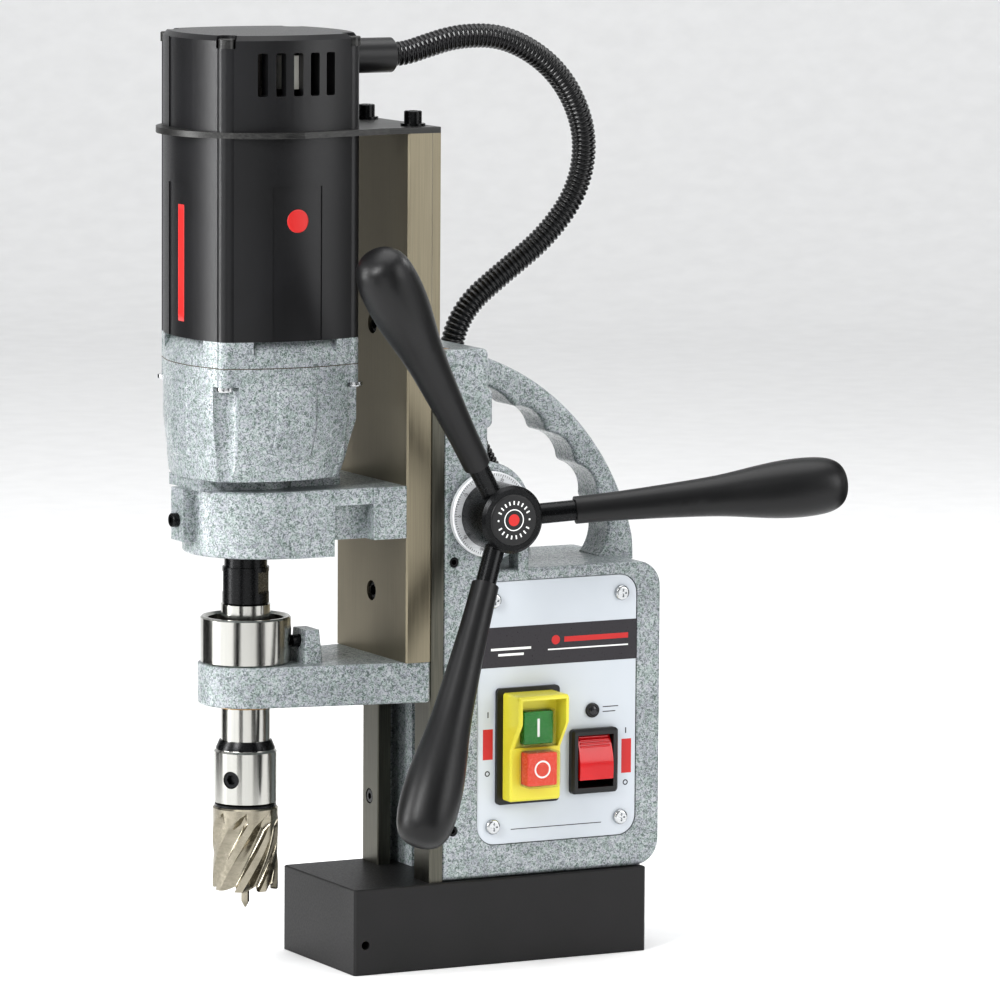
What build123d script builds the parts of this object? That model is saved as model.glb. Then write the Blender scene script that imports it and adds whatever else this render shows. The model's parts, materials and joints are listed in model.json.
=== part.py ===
"""Magnetic drill press: a magnet foot, a cast housing with a slide, a motor and a cutter.

Millimetres. The origin is the centre of the magnet's underside, +Z up. The spindle is
towards -X, and the switch panel and the feed handles face -Y.
"""
from build123d import *
from math import acos, asin, atan2, cos, pi, radians, sin, sqrt, tan
import os

os.makedirs("parts", exist_ok=True)

# ---- driving sizes ---------------------------------------------------------------
magnet_length, magnet_width, magnet_height = 160.0, 80.0, 42.0
housing_half = 37.0          # half the width of the casting
housing_back = 89.0          # X of the rear face
box_top = 193.5              # top of the switch box
column_back = -7.0           # X of the column's rear face
column_top = 302.0
casting_wall = 4.5
slide_half, slide_plate_thick = 38.5, 13.5
slide_front = -52.0          # X of the slide's front face
slide_bottom, slide_top = 151.0, 407.3
rail_thick, rail_inner = 7.0, 20.0
running = 0.05               # radial clearance of a shaft in its bore
loose = 0.3                  # gap between parts that pass each other
feed_x, feed_z = -8.1, 221.7
spindle_x, motor_x = -119.6, -112.5
arbor_radius, cutter_radius = 12.0, 15.9
motor_half = 43.0            # motor axis to the middle of a flat face
conduit_diameter = 12.0

# ---- places that follow from them ------------------------------------------------
slide_back = slide_front + slide_plate_thick
rail_front = slide_back + loose
channel_front = rail_front + rail_thick        # the column's front face
tenon_back = channel_front + 6.0
flange_half, flange_gap = 26.0, 0.2
channel_half = 31.0
rack_half, rack_bore = 5.5, 9.0
gear_module, pinion_teeth = 1.5, 16
pinion_radius = gear_module * pinion_teeth / 2
rack_line = feed_x - pinion_radius             # X of the rack's pitch line
pressure, backlash = radians(20), 0.12


def socket_screw(head_radius, head_height, shank_radius, shank_length, key):
    """A socket cap screw: its seat is on z = 0, its head above and its shank below."""
    with BuildPart(mode=Mode.PRIVATE) as screw:
        Cylinder(head_radius, head_height, align=(Align.CENTER, Align.CENTER, Align.MIN))
        chamfer(screw.edges().sort_by(Axis.Z)[-1], 0.4)
        Cylinder(shank_radius, shank_length, align=(Align.CENTER, Align.CENTER, Align.MAX))
        with BuildSketch(Plane.XY.offset(head_height)):
            RegularPolygon(key / 2, 6, major_radius=False)
        extrude(amount=-0.6 * head_height, mode=Mode.SUBTRACT)
    return screw.part


def pan_screw(head_radius, head_height, shank_radius, shank_length):
    """A cross-recessed pan-head screw: its seat is on z = 0, its head above."""
    with BuildPart(mode=Mode.PRIVATE) as screw:
        Cylinder(head_radius, head_height, align=(Align.CENTER, Align.CENTER, Align.MIN))
        fillet(screw.edges().sort_by(Axis.Z)[-1], 0.6 * head_height)
        Cylinder(shank_radius, shank_length, align=(Align.CENTER, Align.CENTER, Align.MAX))
        with BuildSketch(Plane.XY.offset(head_height)):
            Rectangle(1.1 * head_radius, 0.24 * head_radius)
            Rectangle(0.24 * head_radius, 1.1 * head_radius)
        extrude(amount=-0.5 * head_height, mode=Mode.SUBTRACT)
    return screw.part


def grub_screw(radius, length, key):
    """A socket set screw below z = 0, its socket at the top."""
    with BuildPart(mode=Mode.PRIVATE) as screw:
        Cylinder(radius, length, align=(Align.CENTER, Align.CENTER, Align.MAX))
        chamfer(screw.edges().sort_by(Axis.Z)[-1], 0.3)
        with BuildSketch(Plane.XY):
            RegularPolygon(key / 2, 6, major_radius=False)
        extrude(amount=-0.5 * length, mode=Mode.SUBTRACT)
    return screw.part


def involute(angle):
    return tan(angle) - angle


def gear(teeth, module, angle, thick, bore, phase):
    """An involute spur gear from z = 0 up; one tooth's centre is at the phase, in radians."""
    pitch = module * teeth / 2
    base = pitch * cos(angle)
    tip, root = pitch + module, pitch - 1.25 * module
    half = pi / (2 * teeth) - backlash / (2 * pitch)
    steps = 4
    start = max(base, root)
    flank = []
    for i in range(steps + 1):
        radius = start + (tip - start) * i / steps
        flank.append((radius, half + involute(angle) - involute(acos(min(1, base / radius)))))
    if root < base:
        flank.insert(0, (root, flank[0][1]))
    outline = []
    for tooth in range(teeth):
        centre = phase + 2 * pi * tooth / teeth
        outline += [(r * cos(centre - a), r * sin(centre - a)) for r, a in flank]
        outline += [(r * cos(centre + a), r * sin(centre + a)) for r, a in reversed(flank)]
    with BuildPart(mode=Mode.PRIVATE) as wheel:
        with BuildSketch():
            with BuildLine():
                Polyline(*outline, close=True)
            make_face()
            if bore:
                Circle(bore, mode=Mode.SUBTRACT)
        extrude(amount=thick)
    return wheel.part


def finish(name, builder):
    """Label a piece and write it to its own STEP file."""
    builder.part.label = name
    export_step(builder.part, f"parts/{name}.step")


# ==== the fixed stand ===============================================================
# ---- magnet foot: a steel block, two potted coil slots in its pole face ------------
side_hole_x, side_hole_z, side_hole_radius, side_hole_depth = -74.0, 14.6, 2.1, 14.0
slot_length, slot_width, slot_depth = magnet_length - 26, 13.0, 16.0
slot_spacing = 36.0
with BuildPart() as magnet_base:
    Box(magnet_length, magnet_width, magnet_height, align=(Align.CENTER, Align.CENTER, Align.MIN))
    chamfer(magnet_base.edges().filter_by(Axis.Z), 1.0)
    chamfer(magnet_base.faces().sort_by(Axis.Z)[-1].edges(), 0.6)
    with BuildSketch(Plane.XY):
        with GridLocations(1, slot_spacing, 1, 2):
            SlotOverall(slot_length, slot_width)
    extrude(amount=slot_depth, mode=Mode.SUBTRACT)
    with Locations(Plane((side_hole_x, -magnet_width / 2, side_hole_z), z_dir=(0, -1, 0))):
        Hole(side_hole_radius, side_hole_depth)
finish("magnet_base", magnet_base)

potting_recess = 0.4
with BuildPart() as magnet_potting:
    with BuildSketch(Plane.XY.offset(potting_recess)):
        with GridLocations(1, slot_spacing, 1, 2):
            SlotOverall(slot_length, slot_width)
    extrude(amount=slot_depth - potting_recess)
finish("magnet_potting", magnet_potting)

# ---- housing: column, feed boss, switch box and carrying grip in one casting -------
box_front = channel_front
box_corner, web_depth = 13.0, 10.0
boss_radius, shaft_radius, bush_wall = 25.0, 9.0, 3.0
grip_half = 12.0
panel_left, panel_right, panel_bottom, panel_top = -12.5, 75.5, 58.0, 188.0
panel_corner, panel_recess, plate_thick = 10.0, 2.0, 1.5
panel_screw_radius = 1.6
cavity_margin = 7.0
panel_middle = ((panel_left + panel_right) / 2, (panel_bottom + panel_top) / 2)
panel_size = (panel_right - panel_left, panel_top - panel_bottom)
plate_face = -housing_half + panel_recess - plate_thick
side = Plane((0, -housing_half, 0), x_dir=(1, 0, 0), z_dir=(0, -1, 0))


def panel_plane(depth):
    """The plane of the panel's middle, the given depth behind the casting's near face."""
    return Plane((panel_middle[0], -housing_half + depth, panel_middle[1]),
                 x_dir=(1, 0, 0), z_dir=(0, -1, 0))


grip_outer = [(-8.0, 298.5), (51.4, 265.8), (86.0, 205.0)]
arch_start, arch_foot = (5.0, 280.5), (68.0, 194.0)
ridges = [(20.4, 269.9), (38.0, 256.4), (54.3, 240.1), (66.6, 222.0)]    # between the fingers
pockets = [1.4, 4.6, 4.6, 4.6, 5.6]                                      # depth of each finger's place
ridge_round, grip_round, outline_round = 3.4, 2.6, 2.4
stop_bump_z, stop_bump_size = 273.0, (9.0, 20.0)
web_left, web_thick, web_top = 9.5, 5.5, feed_z - 12.0
gib_screw_x = channel_front + 5.8
gib_heights = [66.6 + 66.0 * i for i in range(4)]
gib_radius = 2.5
panel_screw_spread = (panel_size[0] - 17.5, panel_size[1] - 18.6)
rear_holes, rear_hole_radius = (150.0, 118.0), 4.0
with BuildPart() as housing:
    with BuildSketch(Plane.XZ.offset(-housing_half)) as body_outline:
        with BuildLine():
            Polyline((box_front, magnet_height), (housing_back, magnet_height), (housing_back, box_top),
                     (column_back, box_top), (column_back, column_top), (box_front, column_top), close=True)
        make_face()
        fillet(body_outline.vertices().group_by(Axis.X)[-1], box_corner)
        with Locations((feed_x, feed_z)):
            Circle(boss_radius)
        with Locations((column_back - 2.0, stop_bump_z)):
            RectangleRounded(*stop_bump_size, 3.5)
        with Locations((box_front - boss_radius, feed_z)):
            Rectangle(2 * boss_radius, 4 * boss_radius, mode=Mode.SUBTRACT)
    extrude(amount=2 * housing_half)
    fillet(housing.edges().filter_by(Axis.Y).group_by(Axis.Z)[-1], 3.0)
    for side_face in (housing.faces().sort_by(Axis.Y)[0], housing.faces().sort_by(Axis.Y)[-1]):
        rim = side_face.outer_wire().edges().filter_by(lambda edge: edge.center().Z > magnet_height + 1)
        fillet(rim, outline_round)
    # a web under the feed boss at each side
    for sign in (-1, 1):
        with Locations((web_left, sign * housing_half, box_top - outline_round)):
            Box(web_thick, web_depth, web_top - box_top + outline_round,
                align=(Align.MIN, Align.MIN if sign < 0 else Align.MAX, Align.MIN))
    # carrying grip: an arched bar with a place for each finger
    with BuildSketch(Plane.XZ.offset(-grip_half)) as grip_outline:
        with BuildLine():
            ThreePointArc(*grip_outer)
            Polyline(grip_outer[-1], (grip_outer[-1][0], box_top - 2), (arch_foot[0], box_top - 2), arch_foot)
            fingers = [arch_foot] + ridges[::-1] + [arch_start]
            for start, end, pocket in zip(fingers[:-1], fingers[1:], pockets[::-1]):
                middle = ((Vector(start) + Vector(end)) * 0.5)
                across = (Vector(end) - Vector(start)).normalized().rotate(Axis.Z, -90)
                ThreePointArc(start, middle + across * pocket, end)
            Polyline(arch_start, (grip_outer[0][0], arch_start[1] + 3.5), grip_outer[0])
        make_face()
        for ridge in ridges:
            fillet(grip_outline.vertices().sort_by_distance(ridge)[0], ridge_round)
    extrude(amount=2 * grip_half)
    for y in (-grip_half, grip_half):
        rim = housing.edges().filter_by_position(Axis.Y, y - 0.01, y + 0.01)
        rim = rim.filter_by(lambda edge: edge.center().X > column_back + 6 and edge.center().Z > box_top + 5)
        fillet(rim, grip_round)
    # switch box cavity, open at the near side and closed by the panel
    with BuildSketch(panel_plane(0)):
        RectangleRounded(panel_size[0], panel_size[1], panel_corner)
    extrude(amount=-panel_recess, mode=Mode.SUBTRACT)
    with BuildSketch(panel_plane(panel_recess)):
        RectangleRounded(panel_size[0] - 2 * cavity_margin, panel_size[1] - 2 * cavity_margin, 4.0)
    extrude(amount=-(2 * housing_half - panel_recess - casting_wall), mode=Mode.SUBTRACT)
    with Locations(panel_plane(panel_recess)):
        with GridLocations(*panel_screw_spread, 2, 2):
            Hole(panel_screw_radius + 0.1, 10.0)
    # channel for the slide's tenon, and a deeper groove for the rack
    groove_depth = rack_line + 1.5 * gear_module + loose - channel_front
    for depth, width in ((tenon_back + loose - channel_front, channel_half), (groove_depth, rack_bore)):
        with Locations((channel_front, 0, magnet_height)):
            Box(depth, 2 * width, column_top - magnet_height + 1,
                align=(Align.MIN, Align.CENTER, Align.MIN), mode=Mode.SUBTRACT)
    # cross bore of the feed shaft, its bushes' seats and the room for its pinion
    with Locations(Plane((feed_x, -housing_half, feed_z), z_dir=(0, -1, 0))):
        Hole(shaft_radius + bush_wall, 2 * housing_half)
    with Locations(Plane((feed_x, 0, feed_z), z_dir=(0, -1, 0))):
        Cylinder(pinion_radius + gear_module + 1.0, 2 * rack_bore, mode=Mode.SUBTRACT)
    # the gib's set screws cross the near wall, and two plugged holes are in the rear wall
    for z in gib_heights:
        with Locations(Plane((gib_screw_x, -housing_half, z), z_dir=(0, -1, 0))):
            Hole(gib_radius + 0.1, housing_half - channel_half)
    for z in rear_holes:
        with Locations(Plane((housing_back, 0, z), z_dir=(1, 0, 0))):
            Hole(rear_hole_radius, casting_wall + cavity_margin)
finish("housing", housing)

# ---- rails on the column's front, with their screws ---------------------------------
rail_bottom = magnet_height
rail_heights = [75.0, 137.0, 199.0, 261.0]
rail_screw_y = (rail_inner + housing_half) / 2 + 1.0
rail_head_radius, rail_head = 3.6, 3.4
for name, sign in (("rail_near", -1), ("rail_far", 1)):
    with BuildPart() as rail:
        with Locations((rail_front, sign * (rail_inner + housing_half) / 2, rail_bottom)):
            Box(rail_thick, housing_half - rail_inner, column_top - rail_bottom,
                align=(Align.MIN, Align.CENTER, Align.MIN))
        chamfer(rail.edges().filter_by(Axis.Z).group_by(Axis.X)[0], 0.5)
        for z in rail_heights:
            with Locations(Plane((rail_front, sign * rail_screw_y, z), z_dir=(-1, 0, 0))):
                CounterBoreHole(1.9, rail_head_radius + 0.2, rail_head + 0.2, rail_thick)
    finish(name, rail)

# The screws reach 6 mm into the side walls beside the channel.
rail_screw = socket_screw(rail_head_radius, rail_head, 1.85, rail_thick - rail_head - 0.2, 3.0)
with BuildPart() as rail_screws:
    for z in rail_heights:
        for sign in (-1, 1):
            seat = (rail_front + rail_head + 0.2, sign * rail_screw_y, z)
            with Locations(Plane(seat, z_dir=(-1, 0, 0))):
                add(rail_screw)
finish("rail_screws", rail_screws)

gib_gap = flange_half + flange_gap
with BuildPart() as gib_strip:
    with Locations((channel_front, -channel_half, rail_bottom)):
        Box(tenon_back - channel_front, channel_half - gib_gap, column_top - rail_bottom,
            align=(Align.MIN, Align.MIN, Align.MIN))
finish("gib_strip", gib_strip)

gib_screw = grub_screw(gib_radius, housing_half - channel_half - 0.5, 2.5)
with BuildPart() as gib_screws:
    for z in gib_heights:
        with Locations(Plane((gib_screw_x, -housing_half + 0.5, z), z_dir=(0, -1, 0))):
            add(gib_screw)
finish("gib_screws", gib_screws)

# ---- panel plate, its screws, and the switches --------------------------------------
plate_clear = 0.4
switch_size, base_size = (27.8, 53.0), (34.4, 57.4)
rocker_place, rocker_size = (51.2, 96.5), (25.6, 32.0)
rocker_window = (19.0, 25.4)
lamp_place, lamp_radius = (50.9, 121.3), 3.6


def facing(place, y):
    """A plane that looks at -Y, on the given X and Z."""
    return Plane((place[0], y, place[1]), x_dir=(1, 0, 0), z_dir=(0, -1, 0))


motor_place = (14.8, 106.7)      # middle of the motor switch: X, Z
switch_body = (switch_size[0] - 3, switch_size[1] - 5)
rocker_body = (rocker_size[0] - 4, rocker_size[1] - 4)
with BuildPart() as panel_plate:
    with BuildSketch(panel_plane(panel_recess)):
        RectangleRounded(panel_size[0] - 2 * plate_clear, panel_size[1] - 2 * plate_clear,
                         panel_corner - plate_clear)
    extrude(amount=plate_thick)
    with Locations(panel_plane(panel_recess - plate_thick)):
        with GridLocations(*panel_screw_spread, 2, 2):
            Hole(panel_screw_radius + loose, plate_thick)
    for place, size in ((motor_place, switch_body), (rocker_place, rocker_body)):
        with BuildSketch(facing(place, plate_face)):
            Rectangle(size[0] + 2 * loose, size[1] + 2 * loose)
        extrude(amount=-plate_thick, mode=Mode.SUBTRACT)
    with Locations(facing(lamp_place, plate_face)):
        Hole(lamp_radius - 0.8, plate_thick)
finish("panel_plate", panel_plate)

panel_screw = pan_screw(3.8, 2.2, panel_screw_radius, plate_thick + 9.0)
with BuildPart() as panel_screws:
    with Locations(panel_plane(panel_recess - plate_thick)):
        with GridLocations(*panel_screw_spread, 2, 2):
            add(panel_screw)
finish("panel_screws", panel_screws)

# The motor switch: a black body through the panel, a yellow guard, two push buttons.
flange_thick, switch_depth = 2.0, 26.0
guard_low, guard_high = 8.0, 17.0            # how far the guard stands on the flange, below and above
guard_slope = (106.2, 119.5)                 # Z where the guard's face starts and stops to lean out
guard_wall, button_gap, button_skirt = 2.0, 0.35, 6.0
button_size = (16.2, 16.2)
start_place, stop_place = (15.2, 116.6), (15.2, 96.7)
guard_back = plate_face - flange_thick
with BuildPart() as switch_base:
    with BuildSketch(facing(motor_place, plate_face)):
        RectangleRounded(*base_size, 2.0)
    extrude(amount=flange_thick)
    with BuildSketch(facing(motor_place, plate_face)):
        Rectangle(*switch_body)
    extrude(amount=-switch_depth)
    for place in (start_place, stop_place):
        with BuildSketch(facing(place, guard_back)):
            Rectangle(button_size[0] + 2 * button_gap, button_size[1] + 2 * button_gap)
        extrude(amount=-(switch_depth - 4.0), mode=Mode.SUBTRACT)
finish("switch_base", switch_base)

guard_bottom, guard_top = motor_place[1] - switch_size[1] / 2, motor_place[1] + switch_size[1] / 2
with BuildPart() as switch_box:
    with BuildSketch(Plane.YZ.offset(motor_place[0] - switch_size[0] / 2)) as guard_profile:
        with BuildLine():
            Polyline((guard_back, guard_bottom), (guard_back, guard_top),
                     (guard_back - guard_high, guard_top),
                     (guard_back - guard_high, guard_slope[1]), (guard_back - guard_low, guard_slope[0]),
                     (guard_back - guard_low, guard_bottom), close=True)
        make_face()
        across = guard_profile.vertices().group_by(Axis.X)
        fillet(across[0] + across[-2], 2.0)
    extrude(amount=switch_size[0])
    for side_face in (switch_box.faces().sort_by(Axis.X)[0], switch_box.faces().sort_by(Axis.X)[-1]):
        fillet(side_face.edges().filter_by(lambda edge: edge.center().Y < guard_back - 1), 1.3)
    # the recess round the start button, and both buttons' openings
    window_low = start_place[1] - button_size[1] / 2 - 1.6
    with Locations((motor_place[0], guard_back - guard_low + 1.5, window_low)):
        Box(switch_size[0] - 2 * guard_wall, guard_high, guard_top - guard_wall - window_low,
            align=(Align.CENTER, Align.MAX, Align.MIN), mode=Mode.SUBTRACT)
    for place in (start_place, stop_place):
        with BuildSketch(facing(place, guard_back)):
            RectangleRounded(button_size[0] + 2 * button_gap, button_size[1] + 2 * button_gap, 1.2)
        extrude(amount=guard_high, mode=Mode.SUBTRACT)
finish("switch_box", switch_box)

for name, place, proud in (("start_button", start_place, 10.0), ("stop_button", stop_place, 14.5)):
    with BuildPart() as button:
        with BuildSketch(facing(place, guard_back - proud)):
            RectangleRounded(*button_size, 1.0)
        extrude(amount=-(proud + button_skirt))
        fillet(button.faces().sort_by(Axis.Y)[0].edges(), 0.6)
    finish(name, button)

# The magnet switch: a bezel and a rocker that turns about a pin along X.
rocker_bezel_thick, rocker_depth = 4.0, 18.0
rocker_pin, rocker_pin_length = 1.5, rocker_window[0] + 2 * loose + 0.9
rocker_angle = 12.0
rocker_pivot_y = plate_face + 6.0
with BuildPart() as rocker_bezel:
    with BuildSketch(facing(rocker_place, plate_face)):
        RectangleRounded(*rocker_size, 2.0)
    extrude(amount=rocker_bezel_thick)
    chamfer(rocker_bezel.faces().sort_by(Axis.Y)[0].edges(), 1.2)
    with BuildSketch(facing(rocker_place, plate_face)):
        Rectangle(*rocker_body)
    extrude(amount=-rocker_depth)
    with BuildSketch(facing(rocker_place, plate_face - rocker_bezel_thick)):
        Rectangle(rocker_window[0] + 2 * loose, rocker_window[1] + 2 * loose)
    extrude(amount=-(rocker_bezel_thick + rocker_depth - 2.0), mode=Mode.SUBTRACT)
    with Locations(Plane((rocker_place[0], rocker_pivot_y, rocker_place[1]), z_dir=(1, 0, 0))):
        Cylinder(rocker_pin + running, rocker_pin_length + running, mode=Mode.SUBTRACT)
finish("rocker_bezel", rocker_bezel)

rocker_half = rocker_window[1] / 2 - 0.6
rocker_face = rocker_bezel_thick + 3.4 + 6.0
with BuildPart() as rocker:
    with BuildSketch(Plane.YZ.offset(rocker_place[0] - rocker_window[0] / 2 + loose)):
        with BuildLine():
            pivot = Vector(rocker_pivot_y, rocker_place[1])
            corners = [Vector(5.0, -rocker_half + 3.5), Vector(-rocker_face + 4.6, -rocker_half + 1.0),
                       Vector(-rocker_face + 2.4, 0), Vector(-rocker_face + 4.6, rocker_half - 1.0),
                       Vector(5.0, rocker_half - 3.5)]
            corners = [pivot + corner.rotate(Axis.Z, -rocker_angle) for corner in corners]
            Line(corners[0], corners[1])
            ThreePointArc(corners[1], corners[2], corners[3])
            Polyline(corners[3], corners[4], corners[0])
        make_face()
    extrude(amount=rocker_window[0] - 2 * loose)
    with Locations(Plane((rocker_place[0], rocker_pivot_y, rocker_place[1]), z_dir=(1, 0, 0))):
        Cylinder(rocker_pin, rocker_pin_length)
finish("rocker", rocker)

with BuildPart() as indicator:
    with Locations(facing(lamp_place, plate_face)):
        Cylinder(lamp_radius, 1.6, align=(Align.CENTER, Align.CENTER, Align.MIN))
        Cylinder(lamp_radius - 1.0, 12.0, align=(Align.CENTER, Align.CENTER, Align.MAX))
    fillet(indicator.faces().sort_by(Axis.Y)[0].edges(), 0.7)
finish("indicator", indicator)

with BuildPart() as rear_plugs:
    for z in rear_holes:
        with Locations(Plane((housing_back, 0, z), z_dir=(1, 0, 0))):
            Cylinder(rear_hole_radius - 0.1, casting_wall, align=(Align.CENTER, Align.CENTER, Align.MAX))
            Cylinder(rear_hole_radius + 1.0, 1.8, align=(Align.CENTER, Align.CENTER, Align.MIN))
    fillet(rear_plugs.edges().filter_by(GeomType.CIRCLE).group_by(Axis.X)[-1], 1.2)
finish("rear_plugs", rear_plugs)

# ---- feed shaft bushes ---------------------------------------------------------------
bush_flange, bush_length = 2.0, housing_half - rack_bore - 1.0
with BuildPart() as feed_bushes:
    for sign in (-1, 1):
        with Locations(Plane((feed_x, sign * housing_half, feed_z), z_dir=(0, sign, 0))):
            Cylinder(shaft_radius + bush_wall, bush_length, align=(Align.CENTER, Align.CENTER, Align.MAX))
            Cylinder(shaft_radius + bush_wall + 2.5, bush_flange,
                     align=(Align.CENTER, Align.CENTER, Align.MIN))
    with Locations(Plane((feed_x, 0, feed_z), z_dir=(0, 1, 0))):
        Cylinder(shaft_radius + running, 3 * housing_half, mode=Mode.SUBTRACT)
finish("feed_bushes", feed_bushes)

# ==== the feed: shaft with pinion, hub, three handles ================================
shaft_far = housing_half + bush_flange + 5.0
ring_thick, ring_radius = 3.3, 21.0
hub_length, hub_radius = 22.9, 16.5
ring_back = -housing_half - bush_flange - loose
ring_front = ring_back - ring_thick
hub_front = ring_front - hub_length
with BuildPart() as feed_shaft:
    with Locations(Plane((feed_x, shaft_far, feed_z), z_dir=(0, -1, 0))):
        Cylinder(shaft_radius, shaft_far - hub_front - 6.0, align=(Align.CENTER, Align.CENTER, Align.MIN))
    with Locations(Plane((feed_x, housing_half + bush_flange + 0.2, feed_z), z_dir=(0, 1, 0))):
        Cylinder(shaft_radius + 4.0, 4.0, align=(Align.CENTER, Align.CENTER, Align.MIN))
    chamfer(feed_shaft.faces().sort_by(Axis.Y)[-1].edges(), 0.5)
    # One tooth gap points at the rack.
    with Locations(Plane((feed_x, rack_half, feed_z), x_dir=(1, 0, 0), z_dir=(0, -1, 0))):
        add(gear(pinion_teeth, gear_module, pressure, 2 * rack_half, 0, pi + pi / pinion_teeth))
finish("feed_shaft", feed_shaft)

# The handles' axes meet at one point on the shaft's axis and lean out from the column.
handle_first, handle_lean = 4.95, 16.86
handle_meet = hub_front + 11.5   # Y at which the three handles' axes meet
rod_radius, rod_end, grip_start, grip_end = 5.0, 140.0, 35.7, 171.0
rod_seat = 8.0


def handle_plane(index):
    """The plane whose z axis runs out along a handle."""
    turn = radians(handle_first + 120 * index)
    lean = radians(handle_lean)
    axis = (cos(turn) * cos(lean), -sin(lean), sin(turn) * cos(lean))
    return Plane((feed_x, handle_meet, feed_z), x_dir=(-sin(turn), 0, cos(turn)), z_dir=axis)


with BuildPart() as feed_hub:
    with Locations(Plane((feed_x, hub_front, feed_z), z_dir=(0, 1, 0))):
        Cylinder(hub_radius, ring_front - loose - hub_front, align=(Align.CENTER, Align.CENTER, Align.MIN))
    chamfer(feed_hub.faces().sort_by(Axis.Y)[0].edges(), 1.5)
    with Locations(Plane((feed_x, hub_front, feed_z), z_dir=(0, -1, 0))):
        Hole(hub_radius - 4.0, 2.0)
    with Locations(Plane((feed_x, hub_front + 6.0, feed_z), z_dir=(0, 1, 0))):
        Cylinder(shaft_radius, 40.0, align=(Align.CENTER, Align.CENTER, Align.MIN), mode=Mode.SUBTRACT)
    for index in range(3):
        with Locations(handle_plane(index)):
            with Locations((0, 0, rod_seat + 2.5)):
                Cylinder(rod_radius, 30.0, align=(Align.CENTER, Align.CENTER, Align.MIN), mode=Mode.SUBTRACT)
finish("feed_hub", feed_hub)

with BuildPart() as hub_cap:
    with Locations(Plane((feed_x, hub_front + 2.0, feed_z), z_dir=(0, -1, 0))):
        Cylinder(hub_radius - 4.0, 2.6, align=(Align.CENTER, Align.CENTER, Align.MIN))
    fillet(hub_cap.faces().sort_by(Axis.Y)[0].edges(), 0.8)
finish("hub_cap", hub_cap)

for index in range(3):
    with BuildPart() as rod:
        with Locations(handle_plane(index)):
            with Locations((0, 0, rod_seat + 2.5)):
                Cylinder(rod_radius, rod_end - rod_seat - 2.5, align=(Align.CENTER, Align.CENTER, Align.MIN))
    finish(f"handle_rod_{index + 1}", rod)
    with BuildPart() as grip:
        along = handle_plane(index)
        with BuildSketch(Plane(along.origin, x_dir=along.x_dir, z_dir=along.x_dir.cross(along.z_dir))):
            with BuildLine():
                Line((0, grip_start), (6.7, grip_start))
                Spline((6.7, grip_start), (8.8, 90.0), (10.2, 108.0), (14.3, 153.0), (9.6, 168.0),
                       (0, grip_end), tangents=((0, 1), (-1, 0)))
                Line((0, grip_end), (0, grip_start))
            make_face()
        revolve(axis=Axis(along.origin, along.z_dir))
        with Locations(along):
            Cylinder(rod_radius, rod_end, align=(Align.CENTER, Align.CENTER, Align.MIN), mode=Mode.SUBTRACT)
    finish(f"handle_grip_{index + 1}", grip)

with BuildPart() as scale_ring:
    with Locations(Plane((feed_x, ring_back, feed_z), z_dir=(0, -1, 0))):
        Cylinder(ring_radius, ring_back - ring_front, align=(Align.CENTER, Align.CENTER, Align.MIN))
        Cylinder(shaft_radius + running, 20.0, mode=Mode.SUBTRACT)
    chamfer(scale_ring.faces().sort_by(Axis.Y)[0].edges().sort_by(SortBy.RADIUS)[-1], 0.6)
finish("scale_ring", scale_ring)

# ==== the carriage: slide, brackets, gear case and motor =============================
# ---- slide plate with its tenon, and the rack behind it ------------------------------
flange_top = 290.0
slide_screw_heights = (182.0, 312.7)
slide_head_radius, slide_head = 4.6, 5.0
with BuildPart() as slide:
    with Locations((slide_front, 0, slide_bottom)):
        Box(slide_plate_thick, 2 * slide_half, slide_top - slide_bottom,
            align=(Align.MIN, Align.CENTER, Align.MIN))
    chamfer(slide.edges().filter_by(Axis.Z), 0.8)
    with Locations((slide_back, 0, slide_bottom)):
        Box(tenon_back - slide_back, 2 * (rail_inner - loose), slide_top - slide_bottom,
            align=(Align.MIN, Align.CENTER, Align.MIN))
    with Locations((channel_front + loose, 0, slide_bottom)):
        Box(tenon_back - channel_front - loose, 2 * flange_half, flange_top - slide_bottom,
            align=(Align.MIN, Align.CENTER, Align.MIN))
    for z in slide_screw_heights:
        with Locations(Plane((slide_front, 0, z), z_dir=(-1, 0, 0))):
            CounterBoreHole(3.0, slide_head_radius + 0.3, slide_head + 1.0, tenon_back - slide_front)
finish("slide", slide)

rack_bottom, rack_top = 165.0, 326.0
rack_pitch = pi * gear_module
with BuildPart() as rack:
    with BuildSketch(Plane.XZ.offset(-rack_half)):
        with BuildLine():
            # Teeth with straight flanks; a tooth's centre is level with the feed shaft.
            first = -int((feed_z - rack_bottom - rack_pitch) / rack_pitch)
            last = int((rack_top - feed_z - rack_pitch) / rack_pitch)
            tip_x, root_x = rack_line + gear_module, rack_line - 1.25 * gear_module
            half_pitch_tooth = rack_pitch / 4 - backlash / 2
            half_tip = half_pitch_tooth - gear_module * tan(pressure)
            half_root = half_pitch_tooth + 1.25 * gear_module * tan(pressure)
            outline = [(tenon_back, rack_top), (tenon_back, rack_bottom), (root_x, rack_bottom)]
            for tooth in range(first, last + 1):
                middle = feed_z + tooth * rack_pitch
                outline += [(root_x, middle - half_root), (tip_x, middle - half_tip),
                            (tip_x, middle + half_tip), (root_x, middle + half_root)]
            outline += [(root_x, rack_top)]
            Polyline(*outline, close=True)
        make_face()
    extrude(amount=2 * rack_half)
    for z in slide_screw_heights:
        with Locations(Plane((rack_line + 2 * gear_module, 0, z), z_dir=(1, 0, 0))):
            Hole(3.0, 20.0)
finish("rack", rack)

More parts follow.
